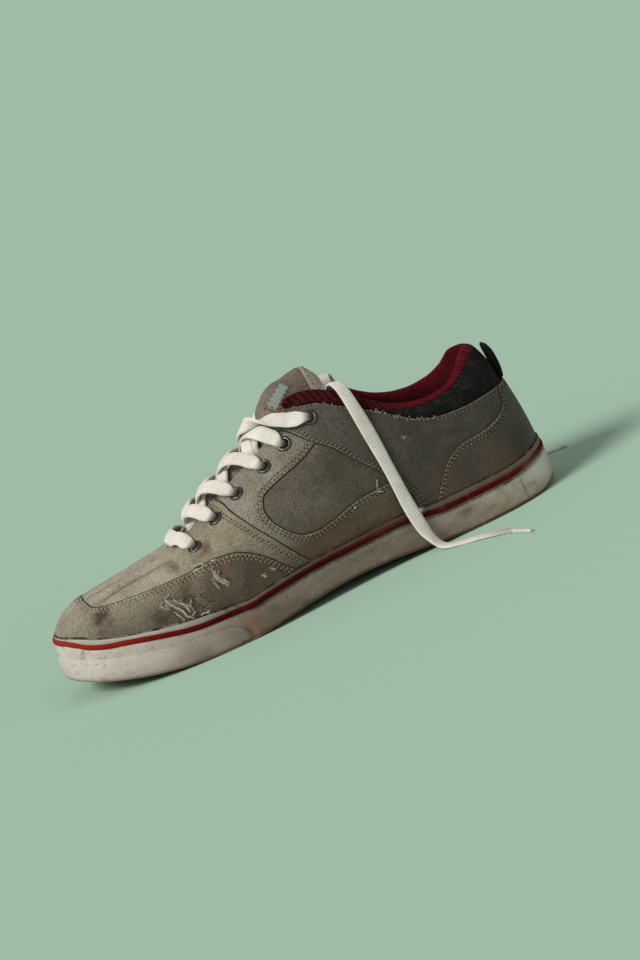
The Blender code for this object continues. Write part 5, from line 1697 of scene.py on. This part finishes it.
# Height of the seam between the collar's outer mesh and its rolled rim
rim_seam = smooth((200, 99), (212, 88.5), (223, 81.4), (230, 78), (240, 75.4), (250, 75), (260, 76.6),
                  (265, 78.5), (270, 80.4), (275, 83.5), (280, 86.2), (290, 87.4))


def make_collar():
    """The padded collar: striped binding in front, black mesh round the heel, a red rim and a red lining."""
    start = 1 + (172.5 - BALL_STATION) / (HEEL_STATION - BALL_STATION)
    half = np.concatenate([np.linspace(start, 2, 90, endpoint=False), even(2, 3, 80)])
    around = np.concatenate([half, [3.0], 6 - half[::-1]])
    station = edge_point(*side_and_way(around))[0]
    heel = np.where(side_and_way(around)[1] > 2)[0]
    for k in heel:
        column = sample(GRID, np.full(UP_ROWS, around[k]), UPS)
        station[k] = np.interp(80, np.maximum.accumulate(column[:, 2]), column[:, 0])
    low, top = canvas_top(station) + 0.8, collar_top(station)
    seam_at = np.clip(rim_seam(station), low + 0.3 * (top - low), top - 2.2)
    fat = 0.55 + 0.45 * blend(180, 225, station)
    front = blend(178, 196, station)
    skirt = low - 2.6 * front - 11.4 * blend(194, 215, station)
    inside = -2.8 + 0 * low
    wobble = 0.12 * np.sin(station * 0.9) + 0.1 * np.sin(station * 2.3 + 1)
    # (how far proud, height) all round the section, and the number of steps to the next
    section = (
        (0 * low - 0.2, low - 0.1, 5), (0.95 * fat + wobble, low + 0.45 * (seam_at - low), 5),
        (0.55 * fat + wobble, seam_at - 0.8, 2), (0 * low, seam_at, 2), (0.35 * fat, seam_at + 0.8, 4),
        (-1.1 * fat, top - 0.8, 4), (-3.6 * fat, top, 4), (-6.2 * fat, top - 1.4, 5),
        (-7.6 * fat, low + 0.4 * (top - low), 5), (-6.6 * fat, low - 3 * front, 5), (inside - 1.4, skirt, 2),
        (inside, skirt, 4), (inside, low - 1.2 * front, 2), (inside, low, 3),
    )
    knots_p, knots_h = (np.stack([row[k] for row in section], 1) for k in (0, 1))
    proud, height = [], []
    count = len(section)
    for k, (_, _, steps) in enumerate(section):
        for t in even(0, 1, steps):
            for knots, rows in ((knots_p, proud), (knots_h, height)):
                a, b, c, d = (knots[:, (k + n) % count] for n in (-1, 0, 1, 2))
                if k in (0, 9, 10, 11, 12, 13):
                    rows.append(b + (c - b) * t)
                else:
                    rows.append(curve_between(a, b, c, d, t))
    proud, height = np.stack(proud, 1), np.stack(height, 1)
    grid = wall_places(around, proud, height)
    steps = [row[2] for row in section]
    at_seam, at_crest = sum(steps[:3]), sum(steps[:6])
    cells = np.full((len(around) - 1, sum(steps)), 3)
    here = (station[:-1] + station[1:]) / 2
    behind = here > 223
    cells[:, :at_crest] = np.where(behind, 2, 0)[:, None]
    cells[:, :at_seam] = np.where(behind, 1, 0)[:, None]
    girth = closed_girth(grid[150])
    uv = crossed_uv(travelled(grid[:, at_seam]), girth)
    collar = grid_piece("collar_padded", grid, [BINDING, MESH, ROLL, INSIDE], (False, True), uv,
                        finish_of=cells, caps=True)
    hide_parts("collar")


def make_pull_tab():
    """A loop of black webbing, folded over at its top and sewn to the back of the collar."""
    column = rib(3.0)
    back = np.interp(70, np.maximum.accumulate(column[:, 2]), column[:, 0]) + 1.4
    section = ((-0.1, 66), (1.9, 66), (2.5, 69), (2.8, 72), (2.7, 76), (2.3, 80), (1.7, 83), (0.8, 85.2),
               (-0.2, 86.0), (-1.1, 85.6), (-1.5, 84), (-1.2, 80), (-0.8, 76), (-0.5, 72), (-0.2, 69))
    section = rounded(np.array([(s, 0, z) for s, z in section]), 56)
    rows = []
    for part in (-1, -0.985, -0.95, -0.88, *np.linspace(-0.8, 0.8, 15), 0.88, 0.95, 0.985, 1):
        row = section.copy()
        shrink = 0.55 * max(abs(part) - 0.93, 0) / 0.07
        middle = section.mean(0)
        row[:, 0] += (middle[0] - row[:, 0]) * shrink * 0.6
        row[:, 0] += back + 0.25 * math.sin(part * 2.4) - 0.5 * part * part
        row[:, 1] = part * 9.0 + centre_line(300)
        rows.append(row)
    grid = np.array(rows)
    girth = np.concatenate([travelled(section), [2 * 21.0]])
    uv = crossed_uv(grid[:, 0, 1], girth)
    tab = grid_piece("heel_tab", grid, [WEBBING], (False, True), uv, caps=True)
    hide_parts("pull_tab")


# ---------------------------------------------------------------- copies set out along seams

def copies_tree():
    """Geometry nodes that set copies of a shape on points, or along a path at a spacing, each turned to the
    point's own along and out directions."""
    tree = bpy.data.node_groups.new("set_out_copies", "GeometryNodeTree")
    tree.interface.new_socket("Geometry", in_out="INPUT", socket_type="NodeSocketGeometry")
    for name, kind, value in (("Shape", "Object", None), ("Along path", "Bool", True),
                              ("Spacing", "Float", 0.0023), ("Sway", "Float", 0.15), ("Seed", "Int", 7),
                              ("Finish", "Material", None)):
        socket = tree.interface.new_socket(name, in_out="INPUT", socket_type=f"NodeSocket{kind}")
        if value is not None:
            socket.default_value = value
    tree.interface.new_socket("Geometry", in_out="OUTPUT", socket_type="NodeSocketGeometry")
    given = tree.nodes.new("NodeGroupInput").outputs
    path = add(tree, "GeometryNodeMeshToCurve", i0=given["Geometry"])
    spaced = add(tree, "GeometryNodeResampleCurve", {"mode": "LENGTH"}, Curve=path, Length=given["Spacing"])
    points = add(tree, "GeometryNodeSwitch", {"input_type": "GEOMETRY"}, Switch=given["Along path"],
                 **{"False": given["Geometry"], "True": spaced})
    along, out = (add(tree, "GeometryNodeInputNamedAttribute", {"data_type": "FLOAT_VECTOR"}, Name=n)
                  for n in ("along", "out"))
    upright = add(tree, "FunctionNodeAlignRotationToVector", {"axis": "Z"}, Vector=out)
    turned = add(tree, "FunctionNodeAlignRotationToVector", {"axis": "X", "pivot_axis": "Z"},
                 Rotation=upright, Vector=along)
    least = add(tree, "Math", "MULTIPLY", i0=given["Sway"], i1=-1.0)
    yaw = add(tree, "FunctionNodeRandomValue", {"data_type": "FLOAT"}, Seed=given["Seed"])
    tree.links.new(least.outputs[0], yaw.inputs[2])
    tree.links.new(given["Sway"], yaw.inputs[3])
    sway = add(tree, "FunctionNodeAxisAngleToRotation", Axis=(0, 0, 1), Angle=yaw.outputs[1])
    swayed = add(tree, "FunctionNodeRotateRotation", {"rotation_space": "LOCAL"}, Rotation=turned,
                 Rotate_By=sway)
    shape = add(tree, "GeometryNodeObjectInfo", Object=given["Shape"])
    copies = add(tree, "GeometryNodeInstanceOnPoints", Points=points, Instance=shape.outputs["Geometry"],
                 Rotation=swayed)
    real = add(tree, "GeometryNodeRealizeInstances", i0=copies)
    done = add(tree, "GeometryNodeSetMaterial", Geometry=real, Material=given["Finish"])
    tree.links.new(done.outputs[0], tree.nodes.new("NodeGroupOutput").inputs[0])
    return tree


def set_out(name, runs, outs, shape, finish, along_path=True, spacing=2.3, sway=0.15, alongs=None):
    """One piece of copies of a shape, along each run of places or on its points."""
    edges, start = [], 0
    alongs = [unit(np.gradient(run, axis=0)) for run in runs] if alongs is None else alongs
    for run in runs:
        edges += [(start + k, start + k + 1) for k in range(len(run) - 1)] if along_path else []
        start += len(run)
    mesh = bpy.data.meshes.new(name + "_path")
    mesh.from_pydata(place(np.concatenate(runs)).tolist(), edges, [])
    for key, rows in (("along", alongs), ("out", outs)):
        write_vectors(mesh, key, unit(np.concatenate(rows)))
    carrier = bpy.data.objects.new(name + "_path", mesh)
    scene.collection.objects.link(carrier)
    modifier = carrier.modifiers.new("copies", "NODES")
    modifier.node_group = COPIES
    values = {"Shape": shape, "Along path": along_path, "Spacing": spacing * MM, "Sway": sway,
              "Finish": finish}
    for item in COPIES.interface.items_tree:
        if item.in_out == "INPUT" and item.name in values:
            modifier[item.identifier] = values[item.name]
    result = bpy.data.meshes.new_from_object(carrier.evaluated_get(bpy.context.evaluated_depsgraph_get()))
    bpy.data.objects.remove(carrier)
    bpy.data.objects.remove(shape)
    piece = bpy.data.objects.new(name, result)
    result.name = name
    result.shade_smooth()
    scene.collection.objects.link(piece)
    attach(piece, "root")
    return piece


def turned_shape(profile, sides, closed=False):
    """A pattern object turned about its z axis: profile is (radius, height), in millimetres."""
    angle = even(0, 2 * np.pi, sides)
    ring = np.stack([np.cos(angle), np.sin(angle), 0 * angle], 1)
    grid = np.array([ring * max(r, 1e-4) + (0, 0, h) for r, h in profile]) * MM
    mesh = bpy.data.meshes.new("pattern")
    rows, count = len(profile), len(profile) - (not closed)
    faces = [(i * sides + j, i * sides + (j + 1) % sides, (i + 1) % rows * sides + (j + 1) % sides,
              (i + 1) % rows * sides + j) for i in range(count) for j in range(sides)]
    mesh.from_pydata(grid.reshape(-1, 3).tolist(), [], faces)
    tidy = bmesh.new()
    tidy.from_mesh(mesh)
    bmesh.ops.remove_doubles(tidy, verts=tidy.verts, dist=1e-6)
    bmesh.ops.recalc_face_normals(tidy, faces=tidy.faces)
    tidy.to_mesh(mesh)
    tidy.free()
    pattern = bpy.data.objects.new("pattern", mesh)
    scene.collection.objects.link(pattern)
    return pattern


def stitch_shape(length, width):
    """One stitch: a short rounded length of thread lying along x."""
    shares = (0, 0.22, 0.5, 0.78, 1)
    pattern = turned_shape([(math.sin(math.pi * t), -math.cos(math.pi * t)) for t in shares], 6)
    for vertex in pattern.data.vertices:
        x, y, z = vertex.co / MM
        vertex.co = Vector((z * length / 2, x * width / 2, y * width * 0.42)) * MM
    return pattern


COPIES = copies_tree()
EYELET_PROFILE = ((2.6, -2.5), (2.55, -1.2), (2.55, 0.2), (2.7, 0.55), (3.05, 0.85), (3.5, 0.92),
                  (3.95, 0.75), (4.35, 0.42), (4.55, 0.08), (4.5, -0.12), (3.7, -0.1), (2.85, -0.15),
                  (2.8, -2.5))
PANEL_LIFTS = (0.9, 0.9, 0.35, 0.35, 0.35, 0.95)  # of the cloth that each eyelet sits on


def eyelet_seats():
    """Each eyelet's place on its cloth, and the direction out of it."""
    spots = np.array(EYELET_SPOTS)
    out = sample(NORMAL, spots[:, 0], spots[:, 1])
    lifts = np.array([PANEL_LIFTS[number] for _, number in EYELET_SIDES])
    return skin(spots[:, 0], spots[:, 1], lifts), out


def make_eyelets():
    places, outs = eyelet_seats()
    shape = turned_shape(EYELET_PROFILE, 28, closed=True)
    along = np.tile([1.0, 0, 0.4], (len(places), 1))
    eyelets = set_out("eyelets_nickel", [places], [outs], shape, NICKEL, along_path=False, sway=0.0,
                      alongs=[along])
    nodes = [f"eyelet_{'lateral' if side < 0 else 'medial'}_{number + 1}" for side, number in EYELET_SIDES]
    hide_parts(*nodes)


def between(run, spacing):
    """A run cut by half a spacing at both ends, so that copies on it fall between those of the whole run."""
    length = travelled(run)
    at = np.linspace(spacing / 2, length[-1] - spacing / 2, max(int(length[-1] / 0.8), 3))
    return read_along(at, length, run), at


def make_stitches():
    spacing = 2.5
    rows = set_out("seam_stitches", STITCH_RUNS + TONGUE_RUNS, STITCH_OUTS + TONGUE_OUTS,
                   stitch_shape(1.85, 1.1), THREAD, spacing=spacing)
    pits, pit_outs = [], []
    for run, out in zip(STITCH_RUNS, STITCH_OUTS):
        cut, at = between(run, spacing)
        cut_outs = read_along(at, travelled(run), out)
        pits.append(cut + 0.1 * unit(cut_outs))
        pit_outs.append(cut_outs)
    holes = set_out("needle_holes", pits, pit_outs, stitch_shape(0.9, 1.0), SHADE_AND_SOIL_LINE, spacing=spacing,
                    sway=0.0)
    line = set_out("seam_shadows", GROOVE_RUNS, GROOVE_OUTS, stitch_shape(1.9, 1.0), SHADE_AND_SOIL_LINE, spacing=1.1,
                   sway=0.0)
    tacks = set_out("label_stitches", RED_RUNS, RED_OUTS, stitch_shape(1.7, 0.9), RED_THREAD, spacing=1.6)


# Frayed edges: side, the places (station, height) that they run through, threads and how far those stray
FRAYED_EDGES = (
    (-1, ((66.3, 39.3), (68.5, 35.3), (72.3, 30.7), (73.6, 27), (76.5, 24.8)), 16, 0.45),
    (-1, ((66.3, 39.3), (69.5, 39.9)), 3, 0.5),
    (-1, ((70.5, 37), (73.5, 34), (75.5, 31), (76.8, 28)), 8, 0.9), (-1, ((77, 31), (79.3, 35)), 2, 0.3),
    (-1, ((75.5, 26.3), (79, 27.9)), 3, 0.4),
    (-1, ((80.5, 23.6), (81.5, 25), (85.5, 24.4), (83, 23.6)), 6, 0.6),
    (-1, ((67.5, 32), (71, 27), (71.3, 24)), 3, 0.5), (-1, ((62, 37.3), (64.5, 35)), 4, 0.6),
    (-1, ((99.8, 42), (97.2, 39.6)), 2, 0.15),
    (-1, ((96.8, 44), (96.5, 40), (98.5, 36), (102, 33.5)), 11, 0.8),
    (-1, ((94, 39.5), (94.8, 35.5), (96, 32.5)), 3, 0.4),
    (-1, ((99, 38), (101.5, 35.5), (102.5, 33.5)), 4, 0.5),
    (-1, ((87.5, 47.3), (91, 48), (94.5, 46.8)), 6, 0.6), (-1, ((98, 48), (101.5, 47.5)), 4, 0.5),
    (-1, ((119.5, 31), (122, 29.3)), 5, 0.7), (-1, ((125.5, 32), (128, 29.6)), 5, 0.7),
    (-1, ((201, 49), (199.4, 45.5), (200, 42.4)), 2, 0.2), (-1, ((197.8, 42.6), (201, 41.8)), 5, 0.4),
    (-1, ((182.5, 40.2), (184, 40.6)), 4, 0.4), (-1, ((153.5, 38.2), (154.5, 37.6)), 3, 0.3),
    (-1, ((224, 62.5), (225, 63)), 3, 0.3), (1, ((80, 33), (84, 29), (88, 27)), 7, 0.8),
    (1, ((95, 38), (98, 34)), 5, 0.6),
)


FRAY_POINTS, FRAY_SIDES = 13, 5  # along and round each loose thread


def make_frays():
    """Loose ends of cotton where the cloth is worn through, and fuzz along the collar's seam."""
    rng = np.random.default_rng(11)
    vertices, faces = [], []
    sides = FRAY_SIDES
    ring = even(0, 2 * np.pi, sides)

    def thread(path, out, radius):
        along = unit(np.gradient(path, axis=0))
        across = unit(np.cross(along, out))
        above = np.cross(across, along)
        wide = radius * np.linspace(1, 0.5, len(path))
        base = len(vertices)
        for k in range(len(path)):
            for angle in ring:
                vertices.append(path[k] + (across[k] * math.cos(angle) + above[k] * math.sin(angle))
                                * wide[k])
        for k in range(len(path) - 1):
            here, ahead = base + k * sides, base + (k + 1) * sides
            for m in range(sides):
                n = (m + 1) % sides
                faces.append((here + m, here + n, ahead + n, ahead + m))
        faces.append(tuple(base + m for m in range(sides)))
        faces.append(tuple(base + len(path) * sides - 1 - m for m in range(sides)))

    for side, places, count, stray in FRAYED_EDGES:
        for _ in range(count):
            knots = np.array(places) + rng.normal(0, stray, (len(places), 2)) * 0.8
            first = rng.integers(0, 4)
            last = FRAY_POINTS - rng.integers(0, 4)
            line = rounded(knots, FRAY_POINTS)[first:last]
            around, up = np.array([pin(side, spot) for spot in line]).T
            rise = np.linspace(0.6, 1.6, len(line))
            lift = (1.55 if places[0][0] < 140 else 0.5) + rng.uniform(0.1, 0.6) * rise
            lift += 0.25 * np.sin(np.linspace(0, rng.uniform(4, 9), len(line)) + rng.uniform(0, 6))
            thread(skin(around, up, lift), sample(NORMAL, around, up), rng.uniform(0.14, 0.26))
    for side in (-1, 1):
        for station in np.concatenate([rng.uniform(212, 246, 38), rng.uniform(176, 212, 8)]):
            around, up = knot_place(side, (station, "end"))
            a, u = np.array([around]), np.array([up - 0.004])
            out = sample(NORMAL, a, u)[0]
            heading = unit(rng.normal(0, 1, 3) * (1, 0.3, 1) + (0, 0, 0.5))
            heading = unit(heading - out * (heading @ out))
            t = np.linspace(0, 1, 7)[:, None]
            length = rng.uniform(0.8, 2.4)
            path = skin(a, u, 0.8)[0] + length * (heading * t + out * (0.1 + 0.3 * np.sin(np.pi * t)))
            thread(path, np.tile(out, (7, 1)), rng.uniform(0.1, 0.15))
    mesh = bpy.data.meshes.new("loose_threads")
    mesh.from_pydata(place(np.array(vertices)).tolist(), [], faces)
    mesh.materials.append(LOOSE_THREAD)
    settle("loose_threads", mesh, join=1e-8)


# ---------------------------------------------------------------- the lacing

# How a crossing lies above the last: share of its way from the far facing to the eyelet, and height
lace_lift = smooth((0, 0.5), (0.15, 3.5), (0.3, 6.0), (0.5, 6.9), (0.7, 5.5), (0.88, 2.4), (1, 1.5))
bar_lift = smooth((0, 1.5), (0.12, 2.4), (0.3, 5.4), (0.5, 6.6), (0.7, 5.4), (0.88, 2.4), (1, 1.5))


LACE_POINTS = 90  # along each run


def lace_bed(station, across):
    """What the lace crosses: the facings, and the tongue where it stays below the last's ridge."""
    return np.minimum(last_height(station, across), tongue_ridge(station) + 1.2)


def over_bed(station, across, lift):
    """Places lifted off the bed, and the direction out of it there."""
    slope_y = (lace_bed(station, across + 1) - lace_bed(station, across - 1)) / 2
    slope_s = (lace_bed(station + 1, across) - lace_bed(station - 1, across)) / 2
    out = unit(np.stack([-slope_s, -slope_y, np.ones(len(station))], 1))
    return np.stack([station, across, lace_bed(station, across)], 1) + out * lift[:, None], out


def dive(middle, out, along, reverse=False):
    """The last knots of a run, over the eyelet's rim and down through it, with its face directions."""
    knots = np.array([middle + out * 1.7 - along * 2.6, middle + out * 0.9 - along * 0.4,
                      middle - out * 0.7 + along * 0.35, middle - out * 3.4 + along * 0.5])
    faces = np.array([out, unit(out + 0.7 * along), unit(0.25 * out + along), along])
    return (knots[::-1], faces[::-1]) if reverse else (knots, faces)


def lace_course(start, end, lift, extra, both_dive, bow, lean, seed):
    """The knots of one run, and the way that its face turns at each."""
    places, outs = eyelet_seats()
    target = EYELET_SIDES.index(end)
    if both_dive:
        first = EYELET_SIDES.index(start)
        begin, finish = places[first], places[target]
    else:
        begin, finish = np.array([*start, 0.0]), places[target]
    t = np.linspace(0.07, 0.86, 14) if both_dive else np.linspace(0, 0.86, 14)
    s = begin[0] + (finish[0] - begin[0]) * t**bow - lean * np.sin(np.pi * t)
    y = begin[1] + (finish[1] - begin[1]) * t
    rng = np.random.default_rng(seed)
    sway = rng.uniform(-0.5, 0.5, 3)
    s = s + np.sin(np.pi * t) * (0.9 * sway[0] + 0.8 * sway[1] * np.sin(2 * np.pi * t))
    path, faces = over_bed(s, y, lift(t) + extra * np.sin(np.pi * t) ** 2 + 0.5 * sway[2] * np.sin(np.pi * t))
    along = unit(np.array([finish[0] - begin[0], finish[1] - begin[1], 0]))
    along = unit(along - outs[target] * (along @ outs[target]))
    knots, turned = dive(places[target], outs[target], along)
    path, faces = np.vstack([path, knots]), np.vstack([faces, turned])
    if both_dive:
        back = -unit(along * (1, 1, 0))
        back = unit(back - outs[first] * (back @ outs[first]))
        knots, turned = dive(places[first], outs[first], back, reverse=True)
        path, faces = np.vstack([knots, path]), np.vstack([turned, faces])
    else:
        side = math.copysign(1, start[1] - throat_middle(start[0]))
        under_s = np.array([start[0] - 2.2, start[0] - 1.0])
        under_y = np.array([start[1] + side * 8.5, start[1] + side * 4.0])
        hidden, out = over_bed(under_s, under_y, np.array([-2.8, -2.5]))
        path, faces = np.vstack([hidden, path]), np.vstack([out, faces])
    return path, faces


def lay_lace(name, node, start, end, lift, extra, both_dive=False, twist=0.0, bow=1.0, lean=0.0, seed=0):
    """One run of lace over the tongue. start is (station, across) under a facing or, where both ends dive
    through an eyelet, an eyelet's (side, number), as end always is."""
    path, faces = lace_course(start, end, lift, extra, both_dive, bow, lean, seed)
    at = travelled(path)
    fine = np.linspace(0, at[-1], LACE_POINTS)
    face = unit(read_along(fine, at, faces))
    path = rounded(path, LACE_POINTS)
    length = travelled(path)
    left = length[-1] - length
    width = LACE_WIDTH * (1.05 - 0.55 * (1 - blend(4.0, 13.0, left)))
    width *= 1.08 - 0.04 * (1 + np.sin(length / 5.3 + seed))
    soil = 0.05 + 0.95 * (1 - blend(3.5, 9.0, left))
    if both_dive:
        width *= 1 - 0.45 * (1 - blend(4.0, 13.0, length))
        soil += 0.9 * (1 - blend(4.5, 11.5, length))
    else:
        soil += 0.45 * (1 - blend(6.0, 15.0, length))
    if twist:
        angle = math.pi * blend(0.38, 0.72, length / length[-1]) * twist
        tangent = unit(np.gradient(path, axis=0))
        face = unit(face - tangent * (face * tangent).sum(1, keepdims=True))
        face = face * np.cos(angle)[:, None] + np.cross(tangent, face) * np.sin(angle)[:, None]
        width *= 1 - 0.25 * np.sin(np.clip(angle / math.pi, 0, 1) * math.pi)
    cup = 0.28 + 0.9 * (1 - blend(0, 6, left))
    run = ribbon(name, path, face, width, np.clip(soil, 0, 1), thick=2.0, cup=cup[:, None])
    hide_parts(node)


def make_lacing():
    lay_lace("lace_run_bar", "lace_bar", (1, 0), (-1, 0), bar_lift, 0.0, both_dive=True, lean=4.0, seed=3)
    for number in range(1, len(EYELETS)):
        for side, extra in ((-1, 1.3), (1, -0.6)):
            below = 147.0 if number == 5 else max(EYELETS[number - 1][0] - 3.5, EYELETS[0][0] + 6)
            inside = float(throat_middle(below) - side * (throat_half_gap(below) - 3.2))
            word = "lateral" if side < 0 else "medial"
            turned_over = (number, side) == (5, -1)
            lay_lace(f"lace_run_{number}_{word}", f"lace_cross_{number}", (below, inside), (side, number),
                     lace_lift, 5.0 if turned_over else extra, twist=float(turned_over),
                     bow=2.0 if turned_over else 1.0, seed=number * 2 + (side > 0))


make_shell()
make_vamp()
make_mudguard()
make_front_quarters()
make_rear_quarter()
make_heel_counter()
make_tongue()
make_label()
make_collar()
make_pull_tab()
make_foxing()
make_bumper()
make_outsole()
make_insole()
make_eyelets()
make_stitches()
make_frays()
make_lacing()
